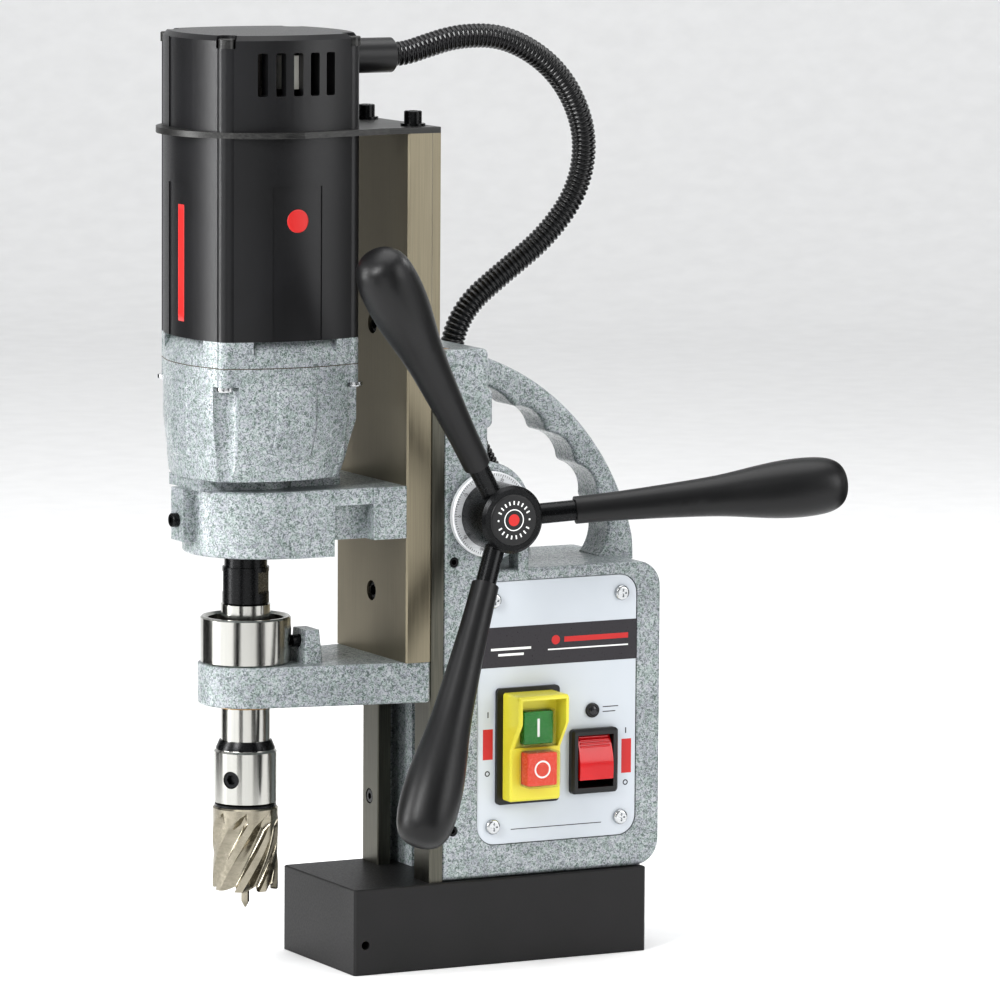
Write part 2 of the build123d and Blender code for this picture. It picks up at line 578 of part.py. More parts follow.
slide_screw_length = tenon_back - slide_front - slide_head - 1.0
slide_screw = socket_screw(slide_head_radius, slide_head, 2.95, slide_screw_length, 5.0)
with BuildPart() as slide_screws:
    for z in slide_screw_heights:
        with Locations(Plane((slide_front + slide_head + 1.0, 0, z), z_dir=(-1, 0, 0))):
            add(slide_screw)
finish("slide_screws", slide_screws)

# ---- lower bracket with the arbor's bush and the coolant ring -------------------------
lower_bottom, lower_top, lower_nose = 131.0, slide_bottom, 23.3
lower_half, lower_rear = 38.8, slide_back
bush_outer = arbor_radius + 3.0
lug_place, lug_size, lug_top, lug_slope = (-92.0, -10.0), (10.4, 18.0), 167.0, 6.0
stop_screw_z, stop_screw_y, stop_screw_head = 161.3, -10.0, 3.0
reach = sqrt((lower_rear - spindle_x)**2 + lower_half**2)
flank = atan2(lower_half, lower_rear - spindle_x) - asin(lower_nose / reach)
touch = (spindle_x - lower_nose * sin(flank), lower_nose * cos(flank))
with BuildPart() as lower_bracket:
    with BuildSketch(Plane.XY.offset(lower_bottom)):
        with BuildLine():
            ThreePointArc((touch[0], -touch[1]), (spindle_x - lower_nose, 0), touch)
            Polyline(touch, (lower_rear, lower_half), (lower_rear, -lower_half), (touch[0], -touch[1]))
        make_face()
    extrude(amount=lower_top - lower_bottom)
    fillet(lower_bracket.edges().filter_by(Axis.Z).group_by(Axis.X)[-1], 2.0)
    fillet(lower_bracket.faces().sort_by(Axis.Z)[0].edges(), 1.6)
    chamfer(lower_bracket.faces().sort_by(Axis.Z)[-1].edges(), 0.4)
    with BuildSketch(Plane.XY.offset(lower_top)):
        with Locations(lug_place):
            RectangleRounded(lug_size[0], lug_size[1], 2.0)
    extrude(amount=lug_top - lower_top, taper=lug_slope)
    with Locations((spindle_x, 0, lower_top)):
        Hole(bush_outer, lower_top - lower_bottom)
    # flat seat and thread of the ring's stop screw, in the lug's sloping face
    stop_seat = lug_place[0] - lug_size[0] / 2 + (lug_top - lower_top) * tan(radians(lug_slope))
    with Locations(Plane((stop_seat, stop_screw_y, stop_screw_z), z_dir=(-1, 0, 0))):
        Cylinder(stop_screw_head + loose, 5.0, align=(Align.CENTER, Align.CENTER, Align.MIN),
                 mode=Mode.SUBTRACT)
        Hole(2.0, 7.0)
finish("lower_bracket", lower_bracket)

with BuildPart() as arbor_bush:
    with Locations((spindle_x, 0, lower_bottom - 1.5)):
        Cylinder(bush_outer, lower_top - lower_bottom + 1.5, align=(Align.CENTER, Align.CENTER, Align.MIN))
        Cylinder(arbor_radius + running, 60.0, mode=Mode.SUBTRACT)
finish("arbor_bush", arbor_bush)

ring_outer, ring_inner, ring_top, ring_floor = 22.0, 18.6, 173.7, 163.0
with BuildPart() as oil_ring:
    with Locations((spindle_x, 0, lower_top)):
        Cylinder(ring_outer, ring_top - lower_top, align=(Align.CENTER, Align.CENTER, Align.MIN))
    chamfer(oil_ring.edges().filter_by(GeomType.CIRCLE), 0.8)
    with Locations((spindle_x, 0, ring_top)):
        CounterBoreHole(arbor_radius + loose, ring_inner, ring_top - ring_floor, ring_top - lower_top)
    chamfer(oil_ring.edges().filter_by(GeomType.CIRCLE).group_by(Axis.Z)[-1].sort_by(SortBy.RADIUS)[0], 1.2)
finish("oil_ring", oil_ring)

stop_reach = spindle_x + sqrt(ring_outer**2 - stop_screw_y**2)
with BuildPart() as ring_stop_screw:
    with Locations(Plane((stop_seat, stop_screw_y, stop_screw_z), z_dir=(-1, 0, 0))):
        Cylinder(stop_screw_head, stop_seat - stop_reach, align=(Align.CENTER, Align.CENTER, Align.MIN))
        Cylinder(1.95, 6.0, align=(Align.CENTER, Align.CENTER, Align.MAX))
    with Locations((spindle_x, 0, stop_screw_z)):
        Cylinder(ring_outer + 0.02, 20.0, mode=Mode.SUBTRACT)
finish("ring_stop_screw", ring_stop_screw)

# ---- upper bracket: arm on the slide, round seat under the gear case ------------------
upper_top, arm_bottom, round_bottom = 237.3, 212.0, 205.0
upper_half, round_radius, round_x = 38.0, 37.3, -113.0
rim_inset, tab_front, tab_half = 0.5, -156.0, 7.0
pocket_start, pocket_end, pocket_top, pocket_depth = -90.0, -69.5, 229.5, 8.0
land_left, land_right, land_half = -152.0, -78.0, 18.0
bearing_outer, bearing_wide, bearing_flange, drive_radius = 17.5, 12.0, 23.3, 8.5
case_bottom = upper_top + 5.6
idler_place, idler_radius = (-95.7, 10.84), 4.0
tab_screw_z, tab_screw_radius = 222.0, 2.0
with BuildPart() as upper_bracket:
    with BuildSketch(Plane.XY.offset(arm_bottom)):
        with Locations((round_x, 0)):
            Circle(round_radius)
            Rectangle(slide_front - round_x, 2 * round_radius, align=(Align.MIN, Align.CENTER))
            Rectangle(round_x - tab_front, 2 * tab_half, align=(Align.MAX, Align.CENTER))
        with Locations((pocket_end, 0)):
            Rectangle(slide_front - pocket_end, 2 * upper_half, align=(Align.MIN, Align.CENTER))
    extrude(amount=upper_top - arm_bottom)
    with BuildSketch(Plane.XY.offset(round_bottom)):
        with Locations((round_x, 0)):
            Circle(round_radius - rim_inset)
            Rectangle(pocket_start - round_x, 2 * round_radius, align=(Align.MIN, Align.CENTER))
    extrude(amount=arm_bottom - round_bottom)
    fillet(upper_bracket.faces().sort_by(Axis.Z)[0].edges().filter_by(GeomType.CIRCLE), 1.6)
    chamfer(upper_bracket.faces().sort_by(Axis.Z)[-1].edges().filter_by(GeomType.CIRCLE), 0.8)
    # raised land that the gear case stands on, and a relief pocket in each side of the arm
    with Locations((land_left, 0, upper_top)):
        Box(land_right - land_left, 2 * land_half, case_bottom - upper_top,
            align=(Align.MIN, Align.CENTER, Align.MIN))
    for sign in (-1, 1):
        with Locations((pocket_start, sign * (round_radius - pocket_depth), pocket_top)):
            Box(pocket_end - pocket_start, 2 * pocket_depth, 2 * (pocket_top - arm_bottom),
                align=(Align.MIN, Align.MAX if sign < 0 else Align.MIN, Align.MAX), mode=Mode.SUBTRACT)
    with Locations((spindle_x, 0, case_bottom)):
        CounterBoreHole(drive_radius + 3.0, bearing_outer, case_bottom - upper_top + bearing_wide,
                        case_bottom - round_bottom)
        Cylinder(bearing_flange + loose, case_bottom - upper_top, mode=Mode.SUBTRACT,
                 align=(Align.CENTER, Align.CENTER, Align.MAX))
    with Locations(Plane((tab_front, 0, tab_screw_z), z_dir=(-1, 0, 0))):
        Hole(tab_screw_radius, 9.0)
finish("upper_bracket", upper_bracket)

with BuildPart() as spindle_bearing:
    with Locations((spindle_x, 0, upper_top - bearing_wide)):
        Cylinder(bearing_outer, bearing_wide, align=(Align.CENTER, Align.CENTER, Align.MIN))
    with Locations((spindle_x, 0, upper_top)):
        Cylinder(bearing_flange, case_bottom - upper_top, align=(Align.CENTER, Align.CENTER, Align.MIN))
        Cylinder(drive_radius + running, 4 * bearing_wide, mode=Mode.SUBTRACT)
    chamfer(spindle_bearing.faces().sort_by(Axis.Z)[-1].edges(), 0.5)
finish("spindle_bearing", spindle_bearing)

# The tab's screw at the front clamps the drive shaft's bearing.
with BuildPart() as bracket_screws:
    with Locations(Plane((tab_front, 0, tab_screw_z), z_dir=(-1, 0, 0))):
        add(socket_screw(3.4, 3.4, tab_screw_radius - 0.05, 8.0, 3.0))
finish("bracket_screws", bracket_screws)

# ---- gear case: a tapered cup with a floor, and a flange with four pillars -------------
case_top, flange_face, pillar_top = 297.6, 303.0, 310.3
case_wall, case_taper_top = 4.0, 270.0
case_low, case_low_x = 38.2, -115.6          # half width and middle of the narrower bottom
case_bore, side_bulge, motor_corner = 36.0, 6.0, 6.0
case_ear, groove_place, groove_radius = 8.8, 51.5, 8.0
case_screw_place, case_head_radius, case_head = 48.0, 4.2, 2.4
case_label, case_label_z, label_recess = (21.6, 37.0), 270.9, 0.7


def rounded_square(half, middle=motor_x, bulge=side_bulge, corner=motor_corner):
    """A square sketch with bowed sides and round corners, its middle at the given X."""
    flat, arc = half - bulge, 0.29 * corner
    with BuildSketch(mode=Mode.PRIVATE) as outline:
        with BuildLine():
            for turn in range(4):
                points = [(flat, corner - flat), (half, 0), (flat, flat - corner), (flat - arc, flat - arc),
                          (flat - corner, flat)]
                side = [Vector(middle, 0) + Vector(point).rotate(Axis.Z, 90 * turn) for point in points]
                ThreePointArc(side[0], side[1], side[2])
                ThreePointArc(side[2], side[3], side[4])
        make_face()
    return outline.sketch


with BuildPart() as gear_case:
    with BuildSketch(Plane.XY.offset(case_taper_top)):
        add(rounded_square(motor_half))
    extrude(amount=case_top - case_taper_top)
    with BuildSketch(Plane.XY.offset(case_bottom)):
        add(rounded_square(case_low, case_low_x))
    with BuildSketch(Plane.XY.offset(case_taper_top)):
        add(rounded_square(motor_half))
    loft()
    # a groove down each corner, with a screw's ear at its top
    with Locations((motor_x, 0, case_top - case_ear)):
        with PolarLocations(groove_place, 4, start_angle=45):
            Cylinder(groove_radius, case_top - case_bottom, mode=Mode.SUBTRACT,
                     align=(Align.CENTER, Align.CENTER, Align.MAX))
    # recessed label panels, one on each side
    for turn in range(4):
        heading = radians(90 * turn)
        out = Vector(cos(heading), sin(heading), 0)
        face_middle = Vector(motor_x, 0, case_label_z) + out * (motor_half - label_recess)
        with BuildSketch(Plane(face_middle, x_dir=(-out.Y, out.X, 0), z_dir=out)):
            RectangleRounded(*case_label, 3.0)
        extrude(amount=2 * label_recess, mode=Mode.SUBTRACT)
    with Locations((motor_x, 0, case_top)):
        Hole(case_bore, case_top - case_bottom - case_wall)
    with Locations((spindle_x, 0, case_top)):
        Hole(drive_radius + 2.0)
    with Locations((idler_place[0], idler_place[1], case_bottom + case_wall)):
        Hole(idler_radius + running, case_wall - 1.0)
finish("gear_case", gear_case)

pillar_size, neck_slope, motor_shaft = 15.0, 30.0, 4.0
with BuildPart() as case_flange:
    with BuildSketch(Plane.XY.offset(case_top)):
        add(rounded_square(motor_half))
    extrude(amount=flange_face - case_top)
    with BuildSketch(Plane.XY.offset(flange_face)):
        add(rounded_square(motor_half))
    extrude(amount=pillar_top - flange_face, taper=neck_slope)
    between = 2 * (motor_half - side_bulge - pillar_size)
    with BuildSketch(Plane.XY.offset(flange_face)):
        add(rounded_square(motor_half))
        with Locations((motor_x, 0)):
            Rectangle(between, 3 * motor_half, mode=Mode.SUBTRACT)
            Rectangle(3 * motor_half, between, mode=Mode.SUBTRACT)
    extrude(amount=pillar_top - flange_face)
    with Locations((motor_x, 0, flange_face)):
        Cylinder(30.0, pillar_top - flange_face, align=(Align.CENTER, Align.CENTER, Align.MIN),
                 mode=Mode.SUBTRACT)
        Hole(motor_shaft + running, flange_face - case_top)
    with Locations(Plane((idler_place[0], idler_place[1], case_top), z_dir=(0, 0, -1))):
        Hole(idler_radius + running, 4.0)
finish("case_flange", case_flange)

with BuildPart() as case_screws:
    with Locations((motor_x, 0, case_top - case_ear)):
        with PolarLocations(case_screw_place, 4, start_angle=45):
            Cylinder(case_head_radius, case_head, align=(Align.CENTER, Align.CENTER, Align.MAX))
    fillet(case_screws.edges().filter_by(GeomType.CIRCLE).group_by(Axis.Z)[0], 1.0)
finish("case_screws", case_screws)

# ---- motor: body, cap, support plate ---------------------------------------------------
plate_bottom, plate_top, cap_top = slide_top, slide_top + 2.9, 455.8
body_bore = 38.0
motor_label, motor_label_depth, motor_label_top = 26.0, 0.5, 384.0
with BuildPart() as motor_body:
    with BuildSketch(Plane.XY.offset(pillar_top)):
        add(rounded_square(motor_half))
    extrude(amount=slide_top - pillar_top)
    # a shallow label panel down each side
    for turn in range(2):
        with BuildSketch(Plane.XY.offset(pillar_top)):
            with Locations((motor_x, 0)):
                Rectangle(motor_label, 4 * motor_half, rotation=90 * turn)
            add(rounded_square(motor_half - motor_label_depth), mode=Mode.SUBTRACT)
        extrude(amount=motor_label_top - pillar_top, mode=Mode.SUBTRACT)
    with Locations((motor_x, 0, slide_top)):
        Hole(body_bore)
finish("motor_body", motor_body)

plate_radius, plate_rear, plate_waist = 50.0, -34.7, -62.0
plate_screw_x, plate_screw_y, plate_screw_radius = -43.3, 25.6, 2.5
with BuildPart() as support_plate:
    with BuildSketch(Plane.XY.offset(plate_bottom)) as plate_outline:
        with BuildLine():
            ThreePointArc((motor_x, -plate_radius), (motor_x - plate_radius, 0), (motor_x, plate_radius))
            Polyline((motor_x, plate_radius), (plate_waist, slide_half), (plate_rear, slide_half),
                     (plate_rear, -slide_half), (plate_waist, -slide_half), (motor_x, -plate_radius))
        make_face()
        with Locations((motor_x, 0)):
            Circle(body_bore, mode=Mode.SUBTRACT)
    extrude(amount=plate_top - plate_bottom)
    with Locations((plate_screw_x, 0, plate_top)):
        with GridLocations(1, 2 * plate_screw_y, 1, 2):
            Hole(plate_screw_radius + 0.1, 10.0)
finish("support_plate", support_plate)

plate_washer = 1.2
plate_screw = socket_screw(4.3, 6.0, plate_screw_radius, plate_top - plate_bottom, 4.0)
with BuildPart() as plate_screws:
    with Locations((plate_screw_x, 0, plate_top)):
        with GridLocations(1, 2 * plate_screw_y, 1, 2):
            Cylinder(6.0, plate_washer, align=(Align.CENTER, Align.CENTER, Align.MIN))
    with Locations((plate_screw_x, 0, plate_top + plate_washer)):
        with GridLocations(1, 2 * plate_screw_y, 1, 2):
            add(plate_screw)
finish("plate_screws", plate_screws)

cap_wall, vent_width, vent_bar, vent_count = 3.0, 4.9, 4.0, 5
vent_low, vent_high = 427.0, 447.5
cap_screw_place, cap_screw_depth, cap_slope, cap_taper = 33.0, 6.0, 2.4, 38.0
cap_well_radius, cap_screw_head = 5.0, 4.6
gland_z, gland_radius, gland_spigot = 442.8, 8.5, 4.9
with BuildPart() as motor_cap:
    with BuildSketch(Plane.XY.offset(plate_top)):
        add(rounded_square(motor_half))
    extrude(amount=cap_top - cap_slope - plate_top)
    with BuildSketch(Plane.XY.offset(cap_top - cap_slope)):
        add(rounded_square(motor_half))
    extrude(amount=cap_slope, taper=cap_taper)
    # the label panel goes on up the cap's front
    with BuildSketch(Plane.XY.offset(plate_top)):
        with Locations((motor_x, 0)):
            Rectangle(2 * motor_half, motor_label, align=(Align.MAX, Align.CENTER))
        add(rounded_square(motor_half - motor_label_depth), mode=Mode.SUBTRACT)
    extrude(amount=cap_top - cap_slope - plate_top, mode=Mode.SUBTRACT)
    with Locations((motor_x, 0, plate_top)):
        Cylinder(body_bore, cap_top - plate_top - cap_wall, align=(Align.CENTER, Align.CENTER, Align.MIN),
                 mode=Mode.SUBTRACT)
    for sign in (-1, 1):
        with BuildSketch(Plane.XZ.offset(-sign * 20.0)):
            with Locations((motor_x, (vent_low + vent_high) / 2)):
                with GridLocations(vent_width + vent_bar, 1, vent_count, 1):
                    RectangleRounded(vent_width, vent_high - vent_low, 1.0)
        extrude(amount=-sign * 40.0, mode=Mode.SUBTRACT)
    with Locations((motor_x, 0, cap_top)):
        with GridLocations(2 * cap_screw_place, 2 * cap_screw_place, 2, 2):
            Hole(cap_well_radius, cap_screw_depth)
    with Locations(Plane((motor_x + body_bore - 3, 0, gland_z), z_dir=(1, 0, 0))):
        Cylinder(gland_spigot + 0.1, 20.0, align=(Align.CENTER, Align.CENTER, Align.MIN), mode=Mode.SUBTRACT)
finish("motor_cap", motor_cap)

with BuildPart() as cap_screws:
    with Locations((motor_x, 0, cap_top - cap_screw_depth + 0.02)):
        with GridLocations(2 * cap_screw_place, 2 * cap_screw_place, 2, 2):
            add(socket_screw(cap_well_radius - 1.0, cap_screw_head, 0.9, 0.01, 3.0))
finish("cap_screws", cap_screws)

stator_inner, core_low, core_high = 22.6, 325.0, 385.0
with BuildPart() as stator:
    with Locations((motor_x, 0, core_low)):
        Cylinder(body_bore, core_high - core_low, align=(Align.CENTER, Align.CENTER, Align.MIN))
        Cylinder(stator_inner, 200.0, mode=Mode.SUBTRACT)
finish("stator", stator)

commutator_radius, commutator_low, commutator_high = 12.0, 392.0, 446.0
holder_z, holder_height, holder_wide = 438.0, 16.0, 11.0
with BuildPart() as brush_holders:
    for sign in (-1, 1):
        with Locations((motor_x, sign * (body_bore + commutator_radius + 0.5) / 2, holder_z)):
            Box(holder_wide, body_bore - commutator_radius - 0.5, holder_height)
    with Locations((motor_x, 0, holder_z)):
        Cylinder(body_bore, holder_height, mode=Mode.INTERSECT)
        Cylinder(commutator_radius + 0.5, holder_height, mode=Mode.SUBTRACT)
finish("brush_holders", brush_holders)

gland_start, gland_end, gland_socket = motor_x + motor_half, -42.0, 6.0
with BuildPart() as cap_gland:
    with Locations(Plane((gland_start, 0, gland_z), z_dir=(1, 0, 0))):
        Cylinder(gland_radius, gland_end - gland_start, align=(Align.CENTER, Align.CENTER, Align.MIN))
        Cylinder(gland_spigot, motor_half - body_bore, align=(Align.CENTER, Align.CENTER, Align.MAX))
    chamfer(cap_gland.faces().sort_by(Axis.X)[-1].edges(), 1.0)
    with Locations(Plane((gland_end, 0, gland_z), z_dir=(1, 0, 0))):
        Hole(conduit_diameter / 2 + loose, gland_socket)
finish("cap_gland", cap_gland)

# ---- conduit from the motor cap to the switch box ---------------------------------------
gland_place, box_gland_top = (36.5, 25.5), 205.5
conduit_points = [(-48, 0, 442.8), (-36.5, 0, 442.8), (-24, 0, 446.6), (-6, 0, 451.3), (18, 0, 450.9),
                  (41, 0.3, 439.5), (57.5, 1.8, 422), (67.2, 4.5, 398.5), (65, 9, 373), (50.5, 14.5, 350.5),
                  (29, 19, 333), (10.5, 22.3, 317.5), (2.2, 24.2, 298), (4.2, 25.3, 276), (14, 25.5, 254.5),
                  (25.5, 25.5, 234), (33.5, 25.5, 220), (36.5, 25.5, 209), (36.5, 25.5, 199.5)]
runs = [(Vector(b) - Vector(a)).length for a, b in zip(conduit_points[:-1], conduit_points[1:])]
turns = [(Vector(b) - Vector(a)).get_angle(Vector(c) - Vector(b))
         for a, b, c in zip(conduit_points[:-2], conduit_points[1:-1], conduit_points[2:])]
bends = [0.45 * min(before, after) / tan(radians(turn) / 2)
         for before, after, turn in zip(runs[:-1], runs[1:], turns)]
print("conduit bend radii:", [round(bend) for bend in bends])
print("conduit runs:", [round(run) for run in runs], "turns:", [round(turn) for turn in turns])
with BuildPart() as conduit:
    with BuildLine() as conduit_path:
        FilletPolyline(conduit_points, radius=bends)
    with BuildSketch(Plane(conduit_points[0], z_dir=Vector(conduit_points[1]) - Vector(conduit_points[0]))):
        Circle(conduit_diameter / 2)
    sweep()
finish("conduit", conduit)
conduit_length = sum(edge.length for edge in conduit_path.edges())
print("conduit length:", round(conduit_length, 1), "volume ratio:",
      round(conduit.part.volume / (pi * conduit_diameter**2 / 4 * conduit_length), 4))

with BuildPart() as box_gland:
    with Locations((gland_place[0], gland_place[1], box_top)):
        Cylinder(gland_radius, box_gland_top - box_top, align=(Align.CENTER, Align.CENTER, Align.MIN))
    with BuildSketch(Plane.XY.offset(box_top)):
        with Locations(gland_place):
            RegularPolygon(10.0, 6, major_radius=False)
    extrude(amount=5.0)
    with Locations((gland_place[0], gland_place[1], box_gland_top)):
        Hole(conduit_diameter / 2 + loose, gland_socket)
finish("box_gland", box_gland)

# ==== spindle: drive shaft with its gear, arbor, cutter, pilot pin ======================
gear_angle = radians(25)
motor_module, motor_teeth, first_teeth = 1.0, 12, 28
drive_module, second_teeth, drive_teeth = 1.25, 12, 30
to_idler = atan2(idler_place[1], idler_place[0] - spindle_x)
drive_gear_z, drive_gear_thick = case_bottom + case_wall + 1.5, 10.0
arbor_top, coupling_height, coupling_radius, neck_radius = 179.5, 18.1, 11.35, 10.4
coupling_flat, flat_low, flat_high, flat_heading = 9.2, 185.1, 195.5, -47.0
with BuildPart() as drive_shaft:
    with Locations((spindle_x, 0, arbor_top)):
        Cylinder(coupling_radius, coupling_height, align=(Align.CENTER, Align.CENTER, Align.MIN))
    with Locations((spindle_x, 0, arbor_top + coupling_height)):
        Cylinder(neck_radius, upper_top - bearing_wide - arbor_top - coupling_height,
                 align=(Align.CENTER, Align.CENTER, Align.MIN))
    with Locations((spindle_x, 0, upper_top - bearing_wide)):
        Cylinder(drive_radius, drive_gear_z + drive_gear_thick + 2.0 - upper_top + bearing_wide,
                 align=(Align.CENTER, Align.CENTER, Align.MIN))
    chamfer(drive_shaft.faces().sort_by(Axis.Z)[0].edges(), 0.8)
    with Locations((spindle_x, 0, flat_low)):
        with PolarLocations(coupling_flat, 2, start_angle=flat_heading):
            Box(5.0, 24.0, flat_high - flat_low, align=(Align.MIN, Align.CENTER, Align.MIN),
                mode=Mode.SUBTRACT)
    with Locations((spindle_x, 0, drive_gear_z)):
        add(gear(drive_teeth, drive_module, gear_angle, drive_gear_thick, 0, to_idler))
finish("drive_shaft", drive_shaft)

idler_bottom, idler_top = case_bottom + 1.2, case_top + 3.8
first_gear_z, first_gear_thick = drive_gear_z + drive_gear_thick + 4.0, 8.0
from_spindle = to_idler + pi
from_motor = atan2(idler_place[1], idler_place[0] - motor_x) + pi
with BuildPart() as idler:
    with Locations((idler_place[0], idler_place[1], idler_bottom)):
        Cylinder(idler_radius, idler_top - idler_bottom, align=(Align.CENTER, Align.CENTER, Align.MIN))
    with Locations((idler_place[0], idler_place[1], drive_gear_z)):
        phase = from_spindle + pi / second_teeth
        add(gear(second_teeth, drive_module, gear_angle, drive_gear_thick + 2.0, 0, phase))
    with Locations((idler_place[0], idler_place[1], first_gear_z)):
        phase = from_motor + pi / first_teeth
        add(gear(first_teeth, motor_module, gear_angle, first_gear_thick, 0, phase))
finish("idler", idler)

fan_radius, fan_z, shaft_end = 33.0, 313.0, 450.0
with BuildPart() as armature:
    with Locations((motor_x, 0, first_gear_z - 0.5)):
        Cylinder(motor_shaft, shaft_end - first_gear_z, align=(Align.CENTER, Align.CENTER, Align.MIN))
    with Locations((motor_x, 0, core_low)):
        Cylinder(stator_inner - 0.6, core_high - core_low, align=(Align.CENTER, Align.CENTER, Align.MIN))
    with Locations((motor_x, 0, commutator_low)):
        Cylinder(commutator_radius, commutator_high - commutator_low,
                 align=(Align.CENTER, Align.CENTER, Align.MIN))
    with Locations((motor_x, 0, fan_z)):
        Cylinder(fan_radius, 2.0, align=(Align.CENTER, Align.CENTER, Align.MIN))
    with BuildSketch(Plane.XY.offset(fan_z)):
        with Locations((motor_x, 0)):
            with PolarLocations(22.0, 12):
                Rectangle(18.0, 1.6)
    extrude(amount=9.0)
    with Locations((motor_x, 0, first_gear_z - 0.5)):
        add(gear(motor_teeth, motor_module, gear_angle, 10.0, 0, from_motor - pi))
finish("armature", armature)

holder_low, holder_high, holder_radius = 82.0, 108.6, 15.3
pin_radius, pin_bore, spring_room = 3.15, 3.2, 170.0
weldon_radius, holder_screw_z, holder_screw_radius, holder_heading = 9.5, 95.0, 4.2, radians(-143)
holder_out = Vector(cos(holder_heading), sin(holder_heading), 0)
collar_height = 4.4
with BuildPart() as arbor:
    with Locations((spindle_x, 0, holder_low)):
        Cylinder(holder_radius, holder_high - holder_low, align=(Align.CENTER, Align.CENTER, Align.MIN))
    chamfer(arbor.edges().filter_by(GeomType.CIRCLE), 1.0)
    with Locations((spindle_x, 0, holder_high)):
        Cone(holder_radius - 1.0, arbor_radius + 0.6, collar_height,
             align=(Align.CENTER, Align.CENTER, Align.MIN))
        Cylinder(arbor_radius, arbor_top - holder_high, align=(Align.CENTER, Align.CENTER, Align.MIN))
    with Locations((spindle_x, 0, holder_low)):
        Cylinder(weldon_radius, holder_high - holder_low - 4.0, align=(Align.CENTER, Align.CENTER, Align.MIN),
                 mode=Mode.SUBTRACT)
        Cylinder(pin_bore + 2.6, spring_room - holder_low, align=(Align.CENTER, Align.CENTER, Align.MIN),
                 mode=Mode.SUBTRACT)
    screw_mouth = Vector(spindle_x, 0, holder_screw_z) + holder_out * holder_radius
    with Locations(Plane(screw_mouth, z_dir=holder_out)):
        Hole(holder_screw_radius, holder_radius - weldon_radius)
finish("arbor", arbor)

screw_sunk = 0.9
with BuildPart() as holder_screw:
    screw_top = Vector(spindle_x, 0, holder_screw_z) + holder_out * (holder_radius - screw_sunk)
    with Locations(Plane(screw_top, z_dir=holder_out)):
        add(grub_screw(holder_screw_radius - running, holder_radius - weldon_radius - screw_sunk - 0.1, 4.5))
finish("holder_screw", holder_screw)

tooth_low, cutter_high, cutter_bore = 40.3, 80.8, 12.6
flutes, flute_tilt, flute_width, flute_depth, flute_length = 8, 24.0, 4.6, 1.9, 31.0
with BuildPart() as cutter:
    with Locations((spindle_x, 0, tooth_low)):
        Cylinder(cutter_radius, cutter_high - tooth_low, align=(Align.CENTER, Align.CENTER, Align.MIN))
        Cylinder(cutter_bore, 30.0, align=(Align.CENTER, Align.CENTER, Align.MIN), mode=Mode.SUBTRACT)
    with Locations((spindle_x, 0, tooth_low - 1.0)):
        with PolarLocations(cutter_radius, flutes):
            Box(2 * flute_depth, flute_width, 2 * flute_length, rotation=(-flute_tilt, 0, 0),
                mode=Mode.SUBTRACT)
    with Locations((spindle_x, 0, cutter_high)):
        Cylinder(weldon_radius - 0.02, 20.0, align=(Align.CENTER, Align.CENTER, Align.MIN))
        Cylinder(pin_bore, 60.0, mode=Mode.SUBTRACT)
finish("cutter", cutter)

pin_tip, point_radius, point_height = 30.6, 1.95, 3.0
pin_step, pin_head = pin_tip + 22.0, 104.0
with BuildPart() as pilot_pin:
    with Locations((spindle_x, 0, pin_tip)):
        Cone(0.4, point_radius, point_height, align=(Align.CENTER, Align.CENTER, Align.MIN))
    with Locations((spindle_x, 0, pin_tip + point_height)):
        Cylinder(point_radius, 20.0, align=(Align.CENTER, Align.CENTER, Align.MIN))
    with Locations((spindle_x, 0, pin_step)):
        Cylinder(pin_radius, pin_head - pin_step, align=(Align.CENTER, Align.CENTER, Align.MIN))
    with Locations((spindle_x, 0, pin_head)):
        Cylinder(5.2, 3.0, align=(Align.CENTER, Align.CENTER, Align.MIN))
finish("pilot_pin", pilot_pin)

spring_low, spring_high, spring_wire, spring_turns = pin_head + 3.4, 168.0, 1.0, 12
with BuildPart() as ejector_spring:
    with BuildLine(Plane((spindle_x, 0, spring_low + spring_wire))):
        spring_height = spring_high - spring_low - 2 * spring_wire
        coil = Helix(spring_height / spring_turns, spring_height, 4.4)
    with BuildSketch(Plane(coil @ 0, z_dir=coil % 0)):
        Circle(spring_wire / 2)
    sweep(path=coil)
finish("ejector_spring", ejector_spring)
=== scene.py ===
"""Magnetic drill press: finishes, detailed pieces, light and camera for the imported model."""
import bmesh
import bpy
import json
import numpy as np
from math import cos, pi, radians, sin
from mathutils import Matrix, Vector


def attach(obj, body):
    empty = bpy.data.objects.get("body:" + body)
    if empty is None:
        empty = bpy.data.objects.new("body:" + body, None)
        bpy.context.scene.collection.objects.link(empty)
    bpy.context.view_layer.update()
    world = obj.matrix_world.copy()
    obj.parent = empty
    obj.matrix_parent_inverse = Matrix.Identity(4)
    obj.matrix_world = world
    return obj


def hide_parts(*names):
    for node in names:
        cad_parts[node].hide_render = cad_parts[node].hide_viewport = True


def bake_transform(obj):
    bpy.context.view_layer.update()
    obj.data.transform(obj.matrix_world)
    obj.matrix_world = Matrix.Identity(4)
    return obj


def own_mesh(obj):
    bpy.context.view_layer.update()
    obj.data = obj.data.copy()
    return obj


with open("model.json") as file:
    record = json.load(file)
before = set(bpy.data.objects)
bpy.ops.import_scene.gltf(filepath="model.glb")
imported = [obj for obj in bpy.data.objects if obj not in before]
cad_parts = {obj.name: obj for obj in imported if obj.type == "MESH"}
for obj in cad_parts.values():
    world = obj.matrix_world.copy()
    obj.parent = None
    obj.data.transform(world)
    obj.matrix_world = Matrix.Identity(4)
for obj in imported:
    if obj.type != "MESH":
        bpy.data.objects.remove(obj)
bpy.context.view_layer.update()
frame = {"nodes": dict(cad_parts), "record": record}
MM = 0.001
part = frame["nodes"]

